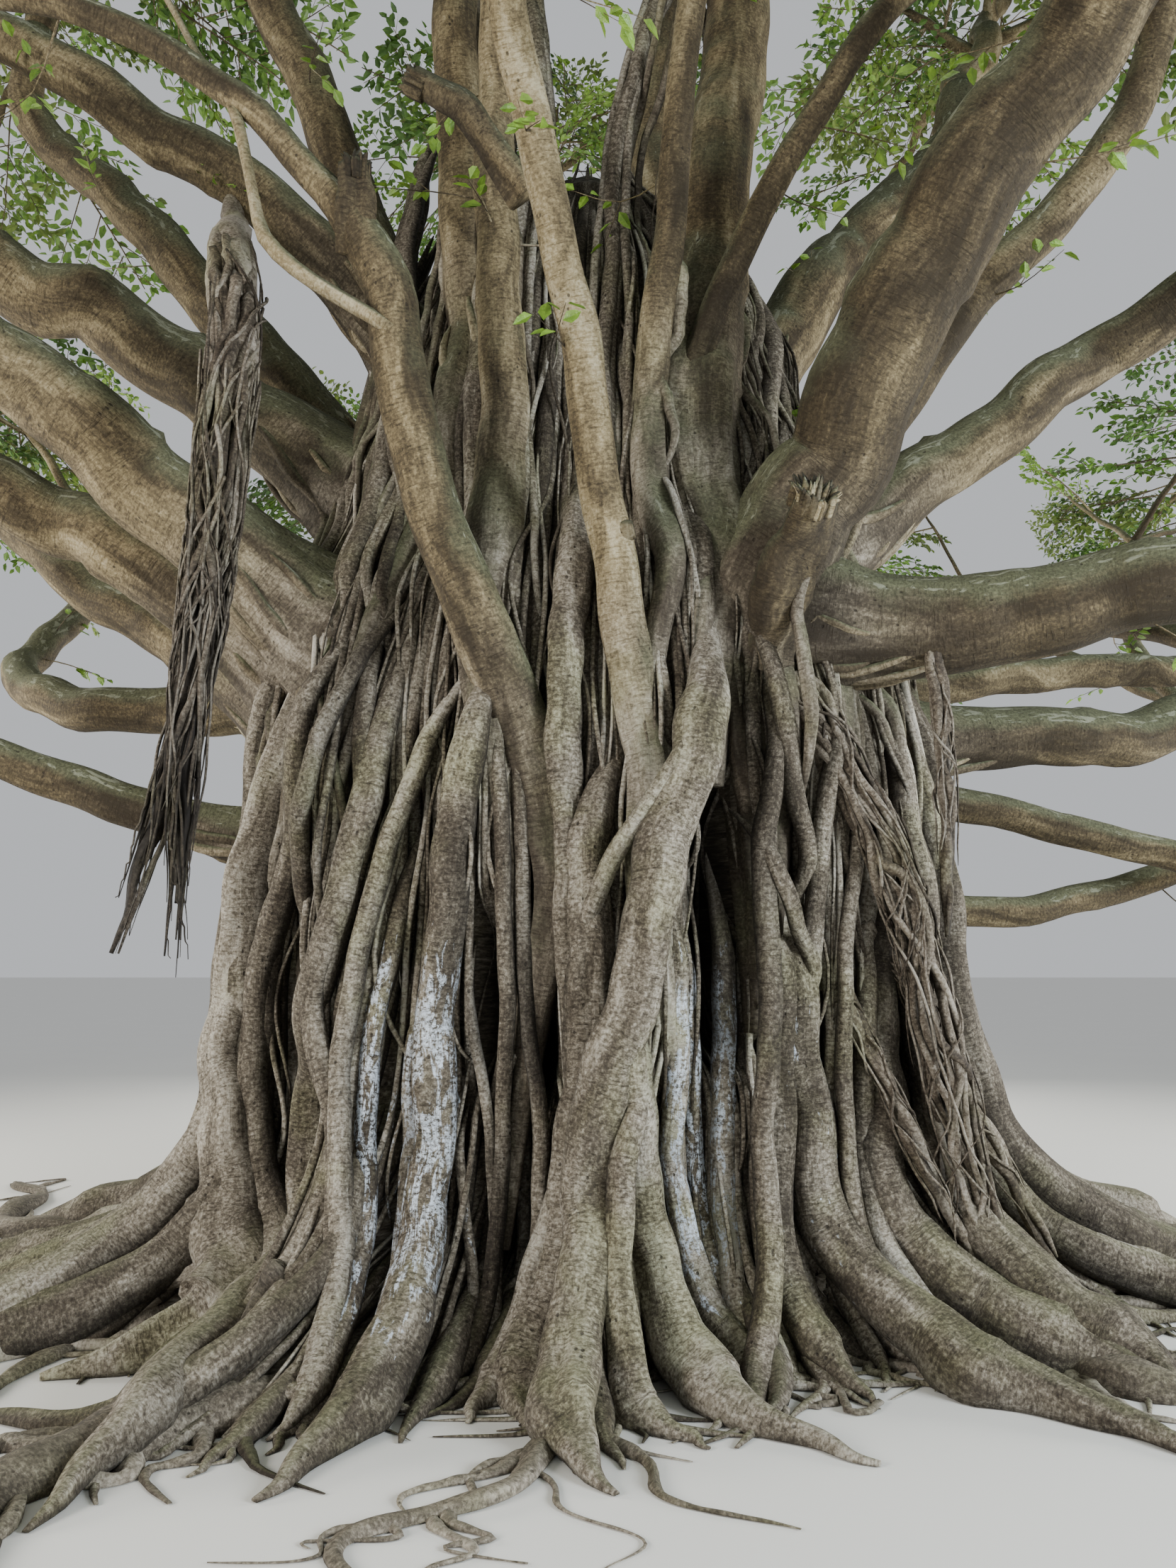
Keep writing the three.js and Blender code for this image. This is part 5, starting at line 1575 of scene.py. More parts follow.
def template_leaves(template, length, width, seed):
    """All leaves of a template as points (n, 6, 3): each leaf's outline put on its frame, of uneven size."""
    rng = np.random.default_rng(seed)
    frames = template["leaves"]
    along, face = frames[:, 3:6], frames[:, 6:9]
    sideways = np.cross(face, along)
    axes = np.stack([along, sideways, face], 1)
    size = rng.uniform(0.72, 1.12, (len(frames), 1, 1))
    outline = leaf_shape(length, width)[None] * size
    stalk = frames[:, :3] + along * 0.012
    return stalk[:, None] + outline @ axes


def template_twigs(template):
    """A template's twigs as one mesh's arrays: a bowed main twig, side twigs, and pointed small ones."""
    t = np.linspace(0, 1, 6)[None, :, None]
    main = template["main"] * t + np.array([0, 0.035, 0.03]) * np.sin(t * np.pi * 1.7)
    radius = 0.013 - 0.0085 * t[..., 0]
    part = [sweep(main, radius, np.broadcast_to(UP, main.shape), 4)]
    lines = np.array(template["twigs"])
    radius = np.broadcast_to([[0.0065, 0.0026]], lines.shape[:2])
    part.append(sweep(lines, radius, np.broadcast_to(UP, lines.shape), 3))
    start, end = np.array(template["small"]).transpose(1, 0, 2)
    way = unit(end - start)
    side = unit(np.cross(UP, way))
    over = np.cross(way, side)
    corners = [start + 0.0032 * (math.cos(a) * side + math.sin(a) * over) for a in (0, 2.094, 4.189)]
    points = np.stack(corners + [end], 1).reshape(-1, 3)
    faces = np.array([[0, 1, 3], [1, 2, 3], [2, 0, 3], [0, 2, 1]])
    triangles = (faces[None] + 4 * np.arange(len(start))[:, None, None]).reshape(-1, 3)
    part.append({"points": points, "quads": np.zeros((0, 4), int), "triangles": triangles, "flow": points})
    for piece in part:
        piece["mix"] = np.tile([0.5, 1.0, 0.0], (len(piece["points"]), 1))
    return joined(part)


def placed(points, spray):
    """Points of a template carried to a spray: scaled, turned to its axes and moved to its root."""
    return spray["root"] + (points * spray["size"]) @ spray["axes"]


def twig_parts(sprays, templates):
    """Every spray's twigs, as pieces small enough for one piece, each with its masses' names."""
    parts, batch, names, count = [], [], set(), 0
    for spray in sprays:
        source = templates[spray["template"]]
        size = len(source["quads"]) * 2 + len(source["triangles"])
        if count + size > TWIG_TRIANGLES:
            parts.append((joined(batch), names))
            batch, names, count = [], set(), 0
        batch.append({**source, "points": placed(source["points"], spray)})
        names.add("foliage_" + spray["mass"])
        count += size
    parts.append((joined(batch), names))
    return parts


def sprig_parts(count, length, width, pitch):
    """Leafy sprigs on the bare limbs: thin bent twigs, each with a side twig, and their leaves (n, 6, 3).

    They leave the boughs in turn, at a seeded place between a quarter and four fifths of the way along each.
    """
    rng = np.random.default_rng(71)
    names = list(BOUGHS)
    ways, frames = [], []
    for k in range(count):
        name = names[k % len(names)]
        root = BOUGH_CURVES[name][int(rng.uniform(0.25, 0.8) * BOUGH_STEPS)]
        way = direction(rng.uniform(0, 360), rng.uniform(-50, 35))
        reach = BOUGHS[name][7] + rng.uniform(0.15, 0.5)
        bent = unit(way + rng.normal(0, 0.3, 3) + [0, 0, 0.1])
        middle = root + way * reach * 0.6
        end = middle + bent * reach * 0.6
        fork = unit(bent + rng.normal(0, 0.5, 3))
        main = ([root, middle, end], (0.006, 0.004, 0.0015))
        side = ([middle, middle + fork * 0.22], (0.003, 0.0015))
        for places, girths in (main, side):
            ways.append(way_of(places, UP + 0.1, girths))
        frames.append(leaf_frames(rng, middle, bent, reach * 0.62, pitch, 0.4))
        frames.append(leaf_frames(rng, middle, fork, 0.24, pitch, 0.4))
    twigs = free_tubes(ways, 7, 4, rng, 0.1, 0.6, 1700, (0.2, 0.8), (1, 1, 0, 0))
    return twigs, template_leaves({"leaves": np.concatenate(frames)}, length, width, 72)


def leaf_piece_arrays(points):
    """Leaves as one mesh's arrays: six points and two quads each."""
    points = points.reshape(-1, 3)
    start = np.arange(len(points) // 6)[:, None, None] * 6
    quads = (np.array([[0, 3, 2, 1], [0, 5, 4, 3]])[None] + start).reshape(-1, 4)
    return {"points": points, "quads": quads, "triangles": np.zeros((0, 3), int)}


# Materials


def feed(tree, socket, value):
    """Gives a socket a value, or links another socket to it."""
    if isinstance(value, bpy.types.NodeSocket):
        tree.links.new(value, socket)
    else:
        socket.default_value = value


def node(tree, kind, feeds=None, out=0, **settings):
    """Adds a node, sets it up, feeds its inputs by name or number, and gives one of its outputs."""
    made = tree.nodes.new(kind)
    for key, value in settings.items():
        setattr(made, key, value)
    for key, value in (feeds or {}).items():
        feed(tree, made.inputs[key], value)
    return made.outputs[out]


def maths(tree, operation, a, b=0.0, clamp=False):
    """A Math node's result."""
    return node(tree, "ShaderNodeMath", {0: a, 1: b}, operation=operation, use_clamp=clamp)


def scaled(tree, value, share):
    """A value times a share."""
    return maths(tree, "MULTIPLY", value, share)


def shifted(tree, tone, value, weight):
    """A tone moved up or down by how far a value from 0 to 1 is from its middle, times a weight."""
    return maths(tree, "ADD", tone, scaled(tree, maths(tree, "SUBTRACT", value, 0.5), weight))


def blend(tree, share, a, b, mode="MIX"):
    """Two colours mixed by a share."""
    a, b = (colour if isinstance(colour, bpy.types.NodeSocket) else (*colour, 1) for colour in (a, b))
    return node(tree, "ShaderNodeMix", {0: share, 6: a, 7: b}, 2, data_type="RGBA", blend_type=mode)


def ranged(tree, value, low, high, to_low=0.0, to_high=1.0):
    """A value carried smoothly from one range to another, and held inside it."""
    feeds = {0: value, 1: low, 2: high, 3: to_low, 4: to_high}
    return node(tree, "ShaderNodeMapRange", feeds, interpolation_type="SMOOTHSTEP")


def stretched(tree, vector, scale):
    """A vector scaled along each axis."""
    return node(tree, "ShaderNodeVectorMath", {0: vector, 1: scale}, operation="MULTIPLY")


def noise(tree, vector, scale, detail=4.0, rough=0.55, warp=0.0):
    """Fractal noise from 0 to 1."""
    feeds = {"Vector": vector, "Scale": scale, "Detail": detail, "Roughness": rough, "Distortion": warp}
    return node(tree, "ShaderNodeTexNoise", feeds)


def new_group(name, inputs, outputs):
    """An empty node group with named sockets; gives the group, its inputs and its output node."""
    group = bpy.data.node_groups.new(name, "ShaderNodeTree")
    for label, kind, default in inputs:
        socket = group.interface.new_socket(label, in_out="INPUT", socket_type=kind)
        if default is not None:
            socket.default_value = default
    for label, kind in outputs:
        group.interface.new_socket(label, in_out="OUTPUT", socket_type=kind)
    return group, group.nodes.new("NodeGroupInput").outputs, group.nodes.new("NodeGroupOutput").inputs


def grain_group():
    """Bark grain on the straightened strand: long fibres, soft swellings, rings across it, pits and grit."""
    group, given, result = new_group(
        "bark_grain",
        [("Flow", "NodeSocketVector", None), ("Rings", "NodeSocketFloat", 0.5)],
        [(name, "NodeSocketFloat") for name in ("Height", "Fibres", "Blotches", "Rings", "Pits", "Grit")],
    )

    def spread(across, along, detail, rough=0.55, warp=0.0):
        """Noise with so many features to a metre across the strand and along it."""
        place = stretched(group, given["Flow"], (across, across, along))
        return noise(group, place, 1.0, detail, rough, warp)

    made = {
        "Fibres": spread(85.0, 7.0, 5.0, 0.62, 0.3),
        "Blotches": spread(6.0, 1.7, 5.0, 0.6, 0.6),
        "Rings": ranged(group, spread(12.0, 105.0, 4.0, 0.62, 0.2), 0.52, 0.70),
        "Grit": spread(58.0, 70.0, 6.0, 0.72),
    }
    pitted = stretched(group, given["Flow"], (26.0, 26.0, 20.0))
    cells = node(group, "ShaderNodeTexVoronoi", {"Vector": pitted, "Scale": 1.0})
    places = ranged(group, noise(group, given["Flow"], 5.0, 2.0), 0.52, 0.60)
    made["Pits"] = maths(group, "MULTIPLY", ranged(group, cells, 0.20, 0.10), places)
    height = scaled(group, spread(17.0, 3.2, 4.0, 0.55, 0.4), 0.6)
    parts = [(made["Fibres"], 0.22), (spread(30.0, 12.0, 3.0, 0.5), 0.3), (made["Grit"], 0.34)]
    parts += [(made["Pits"], -0.35), (made["Rings"], scaled(group, given["Rings"], 0.16))]
    for value, weight in parts:
        height = maths(group, "ADD", height, scaled(group, value, weight))
    made["Height"] = height
    for name, value in made.items():
        feed(group, result[name], value)
    return group


def flake_group():
    """Crisp-edged patches, as of lichen: amount 0 gives none and 1 covers all. Ragged along the grain."""
    group, given, result = new_group(
        "flakes",
        [
            ("Flow", "NodeSocketVector", None),
            ("Size", "NodeSocketFloat", 12.0),
            ("Amount", "NodeSocketFloat", 0.3),
        ],
        [("Mask", "NodeSocketFloat")],
    )
    patches = noise(group, stretched(group, given["Flow"], (1.0, 1.0, 0.3)), given["Size"], 8.0, 0.68, 0.5)
    edge = ranged(group, given["Amount"], 0.0, 1.0, 0.74, 0.34)
    mask = maths(group, "MULTIPLY", maths(group, "SUBTRACT", patches, edge), 26.0, True)
    feed(group, result["Mask"], mask)
    return group


def moss_group():
    """Growth on what faces up, broken up by noise."""
    group, given, result = new_group(
        "upper_growth",
        [("Place", "NodeSocketVector", None), ("Bias", "NodeSocketFloat", 0.0)],
        [("Mask", "NodeSocketFloat")],
    )
    normal = node(group, "ShaderNodeNewGeometry", out="Normal")
    upward = node(group, "ShaderNodeSeparateXYZ", {0: normal}, 2)
    ragged = noise(group, given["Place"], 3.2, 6.0, 0.65)
    value = maths(group, "ADD", maths(group, "ADD", upward, given["Bias"]), scaled(group, ragged, 1.1))
    feed(group, result["Mask"], ranged(group, value, 0.55, 1.15))
    return group


def placed_group(tree, name, feeds):
    """A node that holds the group of that name, with its inputs fed; gives its outputs."""
    made = tree.nodes.new("ShaderNodeGroup")
    made.node_tree = bpy.data.node_groups[name]
    for key, value in feeds.items():
        feed(tree, made.inputs[key], value)
    return made.outputs


def new_material(name):
    """A material with a Principled shader; gives the material, its tree and the shader's inputs."""
    material = bpy.data.materials.new(name)
    material.use_nodes = True
    return material, material.node_tree, material.node_tree.nodes["Principled BSDF"].inputs


def toned(tree, value, tones):
    """A value carried through a ramp of colours."""
    ramp = tree.nodes.new("ShaderNodeValToRGB")
    feed(tree, ramp.inputs[0], value)
    while len(ramp.color_ramp.elements) < len(tones):
        ramp.color_ramp.elements.new(0.5)
    for element, position, colour in zip(ramp.color_ramp.elements, TONE_STOPS, tones):
        element.position = position
        element.color = (*colour, 1)
    return ramp.outputs[0]


def bark_material(name, tones, moss, moss_bias, rings, lichen, relief, young=None):
    """Bark on a strand or limb.

    Tones run from dark to light by the strand's own tint and its blotches, fibres, rings and grit, and a
    greenish stain lies over parts of it; on boughs the tint is partly painted light and shade. Moss covers
    what faces up, a thin scatter of lichen is everywhere, and bark_mix's third channel darkens the colour
    towards near black: painted shade on the sides of strands that face inwards, in the clefts, behind the
    outer strands and in the core's hollows, and darker ends and feet on some roots and stubs. Its second
    channel gives pale speckled flakes on strand_bark, or else, with young, the share of a second set of
    tones.
    """
    material, tree, shader = new_material(name)
    flow = node(tree, "ShaderNodeAttribute", out="Vector", attribute_name="flow")
    mix = node(tree, "ShaderNodeAttribute", out="Color", attribute_name="bark_mix")
    split = tree.nodes.new("ShaderNodeSeparateColor")
    feed(tree, split.inputs[0], mix)
    tint, pale, deep = split.outputs[0], split.outputs[1], split.outputs[2]
    place = node(tree, "ShaderNodeTexCoord", out="Object")
    grain = placed_group(tree, "bark_grain", {"Flow": flow, "Rings": rings})

    def flakes(size, amount):
        """The mask of flakes of a size, so many to a metre."""
        return placed_group(tree, "flakes", {"Flow": flow, "Size": size, "Amount": amount})["Mask"]

    tone = node(tree, "ShaderNodeMath", {0: tint, 1: 0.55, 2: 0.22}, operation="MULTIPLY_ADD")
    tone = shifted(tree, tone, grain["Fibres"], ranged(tree, pale, 0.0, 1.0, 0.3, 0.15) if young else 0.26)
    tone = shifted(tree, tone, grain["Blotches"], 1.35 if young else 1.15)
    tone = maths(tree, "SUBTRACT", tone, scaled(tree, grain["Rings"], rings * 0.12))
    tone = shifted(tree, tone, grain["Grit"], 0.9 if young else 1.4)
    colour = toned(tree, tone, tones)
    stain = scaled(tree, ranged(tree, noise(tree, place, 1.5, 5.0, 0.62, 0.4), 0.48, 0.66), 0.55)
    colour = blend(tree, stain, colour, STAIN_COLOUR, "MULTIPLY")
    if young:
        colour = blend(tree, pale, colour, toned(tree, tone, young))
    growth = placed_group(tree, "upper_growth", {"Place": place, "Bias": moss_bias})["Mask"]
    dark, light = (tuple(share * c for c in moss) for share in (0.55, 1.5))
    mossy = blend(tree, ranged(tree, grain["Grit"], 0.3, 0.7), dark, light)
    colour = blend(tree, scaled(tree, growth, 0.9 if young else 0.6), colour, mossy)
    if young:
        crust = flakes(22.0, ranged(tree, growth, 0.0, 1.0, 0.14, 0.48))
        colour = blend(tree, scaled(tree, crust, 0.6), colour, CRUST_COLOUR)
    specks = flakes(16.0, lichen)
    colour = blend(tree, scaled(tree, specks, 0.55), colour, LICHEN_COLOUR)
    if name == "strand_bark":
        patches = flakes(21.0, scaled(tree, pale, 0.61))
        limits = ((grain["Fibres"], 0.36, 0.46), (pale, 0.02, 0.2), (grain["Grit"], 0.40, 0.50))
        for value, low, high in limits:
            patches = maths(tree, "MULTIPLY", patches, ranged(tree, value, low, high))
        white = blend(tree, ranged(tree, grain["Grit"], 0.46, 0.62), *FLAKE_COLOURS)
        colour = blend(tree, scaled(tree, patches, 0.85), colour, white)
    colour = blend(tree, scaled(tree, grain["Pits"], 0.75), colour, PIT_COLOUR)
    # painted shade: bark_mix's third channel darkens the colour towards near black
    colour = blend(tree, scaled(tree, deep, 0.88), colour, PAINTED_SHADE_COLOUR)
    feed(tree, shader["Base Color"], colour)
    feed(tree, shader["Roughness"], ranged(tree, grain["Fibres"], 0.2, 0.8, 0.78, 0.95))
    height = maths(tree, "ADD", grain["Height"], scaled(tree, specks, 0.1))
    feeds = {"Strength": 1.0, "Distance": relief, "Height": height}
    feed(tree, shader["Normal"], node(tree, "ShaderNodeBump", feeds))
    shader["Specular IOR Level"].default_value = 0.3
    return material


def leaf_material(name, colour):
    """A waxy leaf: one base colour, varied a little by fine noise, which also ripples the surface."""
    material, tree, shader = new_material(name)
    place = node(tree, "ShaderNodeTexCoord", out="Object")
    fine = noise(tree, place, 24.0, 3.0)
    dark = tuple(0.72 * c for c in colour)
    light = (min(1, colour[0] * 1.28), min(1, colour[1] * 1.18), colour[2] * 1.1)
    feed(tree, shader["Base Color"], blend(tree, ranged(tree, fine, 0.3, 0.7), dark, light))
    feed(tree, shader["Roughness"], ranged(tree, fine, 0.3, 0.7, 0.36, 0.5))
    feeds = {"Distance": 0.004, "Height": noise(tree, place, 90.0, 2.0)}
    feed(tree, shader["Normal"], node(tree, "ShaderNodeBump", feeds))
    return material


def floor_material(colour):
    """A plain pale matt floor, a very little uneven in tone."""
    material, tree, shader = new_material("studio_floor")
    place = node(tree, "ShaderNodeTexCoord", out="Object")
    soft = noise(tree, place, 0.7, 2.0)
    other = tuple(0.96 * c for c in colour)
    feed(tree, shader["Base Color"], blend(tree, soft, colour, other))
    shader["Roughness"].default_value = 0.9
    return material


# What lies on the bark, and the colour of the painted shade
STAIN_COLOUR = (0.78, 0.86, 0.56)
MOSS_COLOUR = (0.100, 0.105, 0.060)
CRUST_COLOUR = (0.31, 0.32, 0.24)
LICHEN_COLOUR = (0.40, 0.41, 0.33)
FLAKE_COLOURS = ((0.44, 0.47, 0.50), (0.70, 0.78, 0.90))
PIT_COLOUR = (0.020, 0.015, 0.010)
# painted shade, which bark_mix's third channel darkens towards
PAINTED_SHADE_COLOUR = (0.010, 0.008, 0.007)

# Tones of bark from dark to light, and where they lie on the ramp
TONE_STOPS = (0.15, 0.36, 0.50, 0.64, 0.85)
TRUNK_TONES = (
    (0.032, 0.024, 0.016), (0.074, 0.06, 0.044), (0.142, 0.12, 0.09),
    (0.255, 0.224, 0.178), (0.45, 0.418, 0.355),
)
BOUGH_TONES = (
    (0.03, 0.022, 0.012), (0.068, 0.051, 0.028), (0.138, 0.106, 0.058),
    (0.245, 0.195, 0.108), (0.42, 0.365, 0.245),
)
ROOT_TONES = (
    (0.036, 0.029, 0.022), (0.085, 0.071, 0.054), (0.15, 0.129, 0.101),
    (0.245, 0.215, 0.172), (0.4, 0.365, 0.305),
)
AERIAL_TONES = (
    (0.024, 0.018, 0.013), (0.06, 0.046, 0.033), (0.115, 0.092, 0.067),
    (0.205, 0.174, 0.136), (0.35, 0.312, 0.262),
)

# Each bark: tones, colour of its moss and how readily it grows, rings, lichen, relief in metres, young tones
BARKS = {
    "strand_bark": (TRUNK_TONES, (0.15, 0.155, 0.08), -0.6, 0.9, 0.16, 0.020),
    "limb_bark": (TRUNK_TONES, MOSS_COLOUR, 0.05, 1.0, 0.15, 0.012, BOUGH_TONES),
    "root_bark": (ROOT_TONES, (0.15, 0.135, 0.095), -0.6, 0.7, 0.12, 0.009),
    "aerial_bark": (AERIAL_TONES, MOSS_COLOUR, -0.9, 0.3, 0.08, 0.006),
    "twig_bark": (BOUGH_TONES, MOSS_COLOUR, -0.3, 0.5, 0.10, 0.002),
}


def bark(name):
    """The bark material of that name, made once."""
    if "bark_grain" not in bpy.data.node_groups:
        grain_group()
        flake_group()
        moss_group()
    if name in bpy.data.materials:
        return bpy.data.materials[name]
    return bark_material(name, *BARKS[name])


# Add-on


def count_of(name, description, default, low=8):
    """A whole number that can be changed."""
    return IntProperty(name=name, description=description, default=default, min=low)


def length_of(name, description, default):
    """A length that can be changed, in metres."""
    return FloatProperty(name=name, description=description, default=default, unit="LENGTH")


def colour_of(name, description, default):
    """A colour that can be changed."""
    return FloatVectorProperty(name=name, description=description, default=default, size=3, subtype="COLOR")


class TrunkSettings(bpy.types.PropertyGroup):
    """What can be changed about the trunk."""

    outer_strands: count_of("Outer strands", "Strands in the trunk's outer layer", 190)
    inner_strands: count_of("Inner strands", "Strands that lie behind the outer ones", 110)
    thin_strands: count_of("Thin strands", "Thin strands that cross over the others", 120)
    toes: count_of("Toes", "Thin roots that spread from the trunk's foot", 74, 1)


class LeafSettings(bpy.types.PropertyGroup):
    """What can be changed about the leaves."""

    length: length_of("Leaf length", "Length of a leaf", 0.122)
    width: length_of("Leaf width", "Width of a leaf", 0.067)
    pitch: length_of("Leaf pitch", "Room between leaves along a twig", 0.056)
    bright: colour_of("Bright green", "Leaves in the light", (0.16, 0.30, 0.035))
    fresh: colour_of("Fresh green", "Young leaves", (0.115, 0.245, 0.030))
    deep: colour_of("Deep green", "Old leaves", (0.070, 0.165, 0.026))
    olive: colour_of("Olive green", "Yellowing leaves", (0.150, 0.230, 0.040))


class StageSettings(bpy.types.PropertyGroup):
    """What can be changed about the stage."""

    floor_colour: colour_of("Floor", "Colour of the floor", (0.74, 0.73, 0.70))
    sky: FloatProperty(name="Sky", description="Strength of the even light all round", default=0.62, min=0)
    lamps: FloatProperty(name="Lamps", description="Power of each soft lamp", default=420.0, unit="POWER")


class BANYAN_OT_trunk(bpy.types.Operator):
    """Makes the trunk's inner skin and the root strands that cover it"""

    bl_idname = "banyan.trunk"
    bl_label = "Trunk"

    def execute(self, context):
        settings = context.scene.banyan_trunk
        material = bark("strand_bark")
        put_mesh("trunk_core", core_part(), material, ["trunk"])
        counts = (settings.inner_strands, settings.outer_strands, settings.thin_strands)
        for side, (seed, first, span, share, fine) in TRUNK_SIDES.items():
            inner, outer, thin = (int(share * count) for count in counts)
            parts = [
                braided_layer(seed + k, count, first, span, layer, fine)
                for k, (layer, count) in enumerate(zip(STRAND_LAYERS, (inner, outer, thin, thin // 2)))
            ]
            for name, part in (("inner", parts[0]), ("outer", parts[1]), ("thin", joined(parts[2:]))):
                put_mesh(f"trunk_{side}_{name}", part, material, ["trunk"])
        roots = list(FRONT_ROOTS.values())
        thick = [root for root in roots if max(root[:2]) >= THICK_GIRTH]
        slim = [root for root in roots if max(root[:2]) < THICK_GIRTH] + sheaves(STEMS.values())
        feet = list(FOOT_ROOTS.values())
        front = [named_part(thick, 96, 20), named_part(slim, 80, 9, 0.12), named_part(feet, 64, 14, 0.2)]
        put_mesh("trunk_front_roots", joined(front), material, ["trunk"])
        put_mesh("trunk_legs", leg_part(70, 11), material, ["trunk"])
        toes = toe_part(settings.toes, 41, 40, 8)
        put_mesh("trunk_toes", toes, bark("root_bark"), ["trunk"])
        return {"FINISHED"}


class BANYAN_OT_boughs(bpy.types.Operator):
    """Makes the boughs and the roots that run down from their feet"""

    bl_idname = "banyan.boughs"
    bl_label = "Boughs"

    def execute(self, context):
        main = [name for name, bough in BOUGHS.items() if not bough[9]]
        side = [name for name, bough in BOUGHS.items() if bough[9]]
        put_mesh("main_boughs", bough_part(main, 120, 24), bark("limb_bark"), main)
        put_mesh("side_boughs", bough_part(side, 110, 16), bark("limb_bark"), side)
        feet = joined([bough_foot_part(38, 7), dropped_part(44, 40, 6)])
        put_mesh("bough_feet", feet, bark("limb_bark"), ["trunk"])
        broken = ["side_bough_front_left", "bough_right_front", "bough_front"]
        put_mesh("broken_stubs", stub_part(26, 14), bark("limb_bark"), broken)
        return {"FINISHED"}


class BANYAN_OT_roots(bpy.types.Operator):
    """Makes the hanging, propping and surface roots"""

    bl_idname = "banyan.roots"
    bl_label = "Roots"

    def execute(self, context):
        for name, part in aerial_parts().items():
            put_mesh(name + "_strands", part, bark("aerial_bark"), [name])
        part = surface_root_part(76, 16)
        put_mesh("surface_roots", part, bark("root_bark"), list(SURFACE_ROOTS))
        return {"FINISHED"}


class BANYAN_OT_foliage(bpy.types.Operator):
    """Makes the stems, branches, twigs and leaves of every mass"""

    bl_idname = "banyan.foliage"
    bl_label = "Foliage"

    def execute(self, context):
        settings = context.scene.banyan_leaves
        stems, branches, sprays = grow_crown()
        nodes = ["foliage_" + mass["name"] for mass in MASSES]
        limbs = joined([branch_part(stems, 22, 12, 0.4), branch_part(branches, 16, 8, 0.3)])
        put_mesh("branches", limbs, bark("limb_bark"), nodes)
        sources = [spray_template(500 + k, settings.pitch) for k in range(10)]
        twigs = [template_twigs(source) for source in sources]
        size = (settings.length, settings.width)
        leaves = [template_leaves(source, *size, 900 + k) for k, source in enumerate(sources)]
        for spray in sprays:
            spray["template"] = int(chance(spray["seed"] + 0.8) * len(sources))
            spray["green"] = int(chance(spray["seed"] + 0.9) * 4)
        for k, (part, names) in enumerate(twig_parts(sprays, twigs)):
            put_mesh(f"twigs_{k + 1}", part, bark("twig_bark"), sorted(names))
        for g, green in enumerate(("bright", "fresh", "deep", "olive")):
            material = leaf_material("leaf_" + green, tuple(getattr(settings, green)))
            for tier in ("low", "mid", "top"):
                some = [spray for spray in sprays if spray["green"] == g and spray["mass"].startswith(tier)]
                if some:
                    names = sorted({"foliage_" + spray["mass"] for spray in some})
                    points = np.concatenate([placed(leaves[spray["template"]], spray) for spray in some])
                    part = leaf_piece_arrays(points)
                    put_mesh(f"leaves_{tier}_{green}", part, material, names, smooth=False)
        twigs, points = sprig_parts(84, 0.8 * settings.length, 0.8 * settings.width, settings.pitch)
        put_mesh("sprig_twigs", twigs, bark("twig_bark"), nodes)
        material = bpy.data.materials["leaf_bright"]
        put_mesh("sprig_leaves", leaf_piece_arrays(points), material, nodes, smooth=False)
        print(len(sprays), "sprays,", sum(len(leaves[s["template"]]) for s in sprays), "leaves")
        return {"FINISHED"}


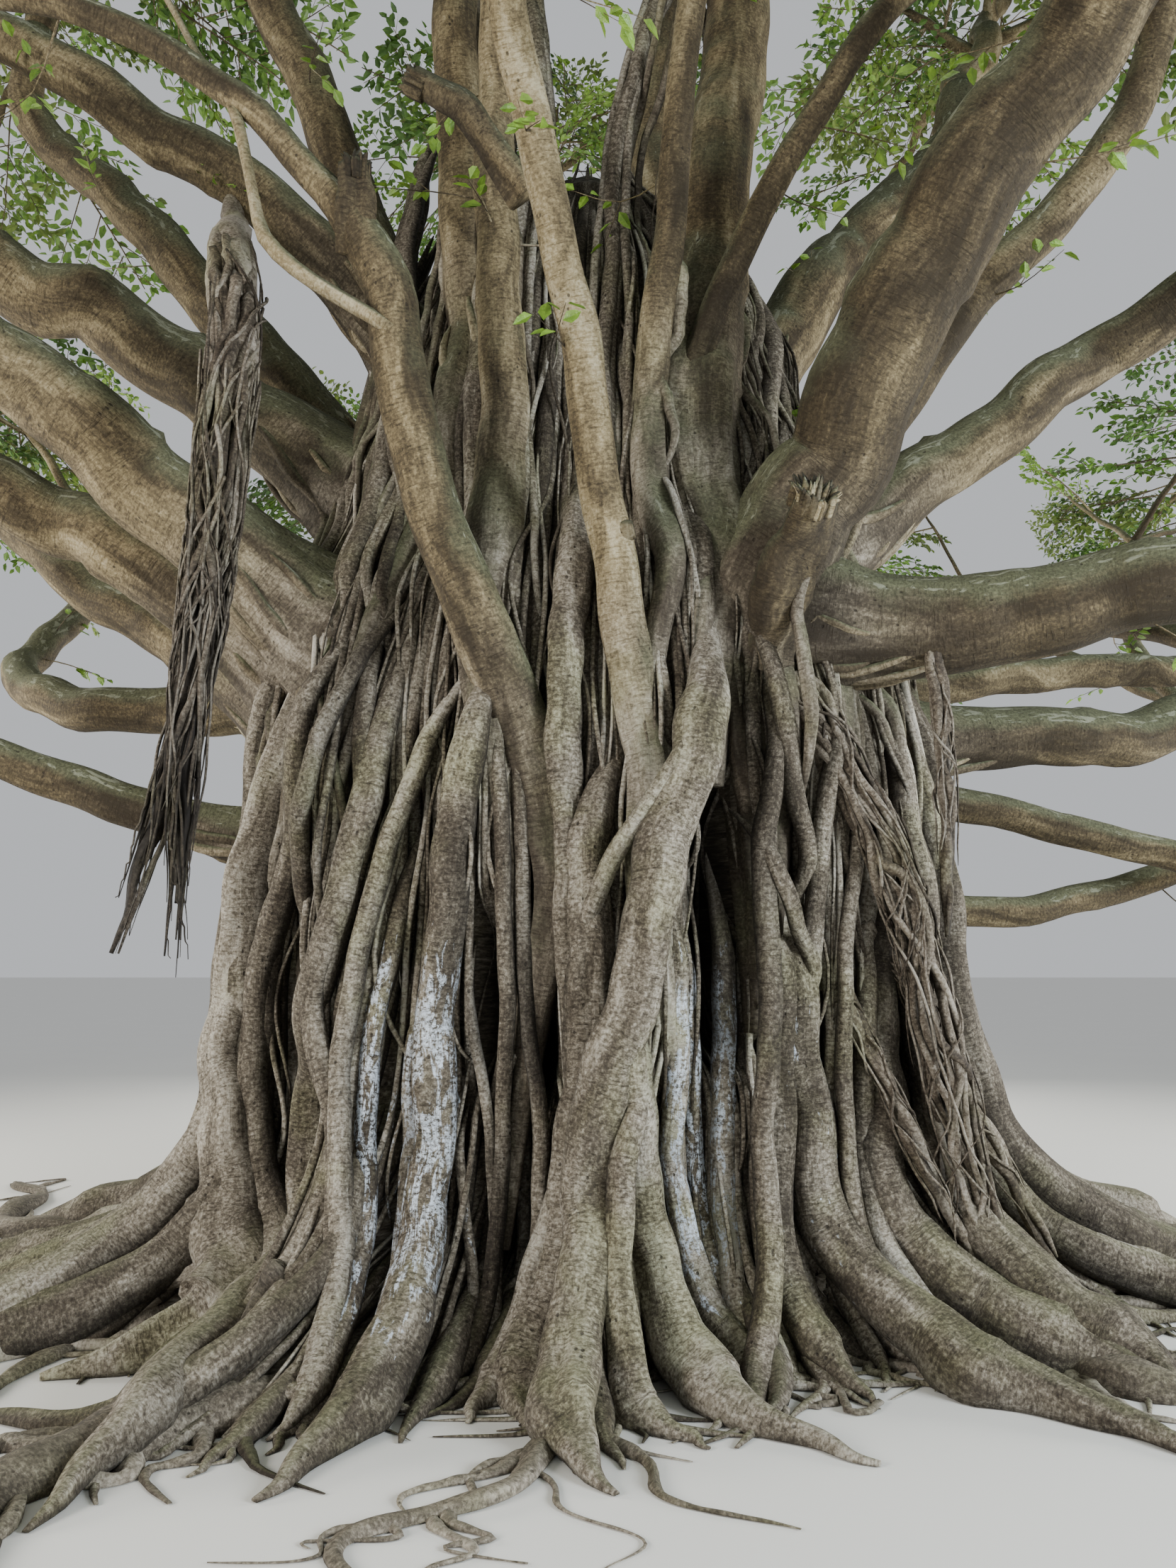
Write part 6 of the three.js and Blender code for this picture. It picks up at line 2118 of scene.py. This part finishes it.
class BANYAN_OT_stage(bpy.types.Operator):
    """Makes the floor, the lamps, the even light and the camera"""

    bl_idname = "banyan.stage"
    bl_label = "Stage"

    def execute(self, context):
        settings = context.scene.banyan_stage
        mesh = bpy.data.meshes.new("studio_floor")
        square = ((-1, -1), (1, -1), (1, 1), (-1, 1))
        corners = [(x * FLOOR_HALF, y * FLOOR_HALF, FLOOR_HEIGHT) for x, y in square]
        mesh.from_pydata(corners, [], [(0, 1, 2, 3)])
        mesh.materials.append(floor_material(tuple(settings.floor_colour)))
        floor = bpy.data.objects.new("studio_floor", mesh)
        context.scene.collection.objects.link(floor)
        world = bpy.data.worlds.new("studio_light")
        world.use_nodes = True
        sky = world.node_tree.nodes["Background"].inputs
        sky["Color"].default_value = SKY_COLOUR
        sky["Strength"].default_value = settings.sky
        context.scene.world = world
        for name, (place, share, colour) in LAMPS.items():
            light = bpy.data.lights.new(name, "AREA")
            light.shape = "DISK"
            light.size = LAMP_WIDTH
            light.energy = settings.lamps * share
            light.color = colour
            lamp = bpy.data.objects.new(name, light)
            lamp.location = place
            aim = np.array(LAMP_AIM) - place
            tilt = math.acos(-aim[2] / np.linalg.norm(aim))
            lamp.rotation_euler = (tilt, 0, math.atan2(aim[1], aim[0]) - math.pi / 2)
            lamp.visible_camera = False
            context.scene.collection.objects.link(lamp)
        lens = bpy.data.cameras.new("camera")
        lens.lens, lens.sensor_width, lens.clip_end = LENS, SENSOR, 500.0
        camera = bpy.data.objects.new("camera", lens)
        camera.location = EYE
        camera.rotation_euler = (math.radians(90 + CAMERA_RISE), 0, 0)
        context.scene.collection.objects.link(camera)
        context.scene.camera = camera
        return {"FINISHED"}


OPERATORS = (BANYAN_OT_trunk, BANYAN_OT_boughs, BANYAN_OT_roots, BANYAN_OT_foliage, BANYAN_OT_stage)


class BANYAN_PT_panel(bpy.types.Panel):
    """Lists the tree's pieces and their settings"""

    bl_idname = "BANYAN_PT_panel"
    bl_label = "Banyan Tree"
    bl_space_type = "VIEW_3D"
    bl_region_type = "UI"
    bl_category = "Banyan"

    def draw(self, context):
        for operator in OPERATORS:
            self.layout.operator(operator.bl_idname)
        for settings in (context.scene.banyan_trunk, context.scene.banyan_leaves, context.scene.banyan_stage):
            box = self.layout.box()
            for name in settings.__annotations__:
                box.prop(settings, name)


SETTINGS = {"banyan_trunk": TrunkSettings, "banyan_leaves": LeafSettings, "banyan_stage": StageSettings}


def register():
    """Registers the settings, the operators and the panel."""
    for name, settings in SETTINGS.items():
        bpy.utils.register_class(settings)
        setattr(bpy.types.Scene, name, PointerProperty(type=settings))
    for made in (*OPERATORS, BANYAN_PT_panel):
        bpy.utils.register_class(made)


def unregister():
    """Takes the settings, the operators and the panel away again."""
    for made in (BANYAN_PT_panel, *reversed(OPERATORS)):
        bpy.utils.unregister_class(made)
    for name, settings in SETTINGS.items():
        delattr(bpy.types.Scene, name)
        bpy.utils.unregister_class(settings)


def main():
    register()
    bpy.ops.banyan.stage()
    bpy.ops.banyan.trunk()
    bpy.ops.banyan.boughs()
    bpy.ops.banyan.roots()
    bpy.ops.banyan.foliage()
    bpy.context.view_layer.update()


if __name__ == "__main__":
    main()
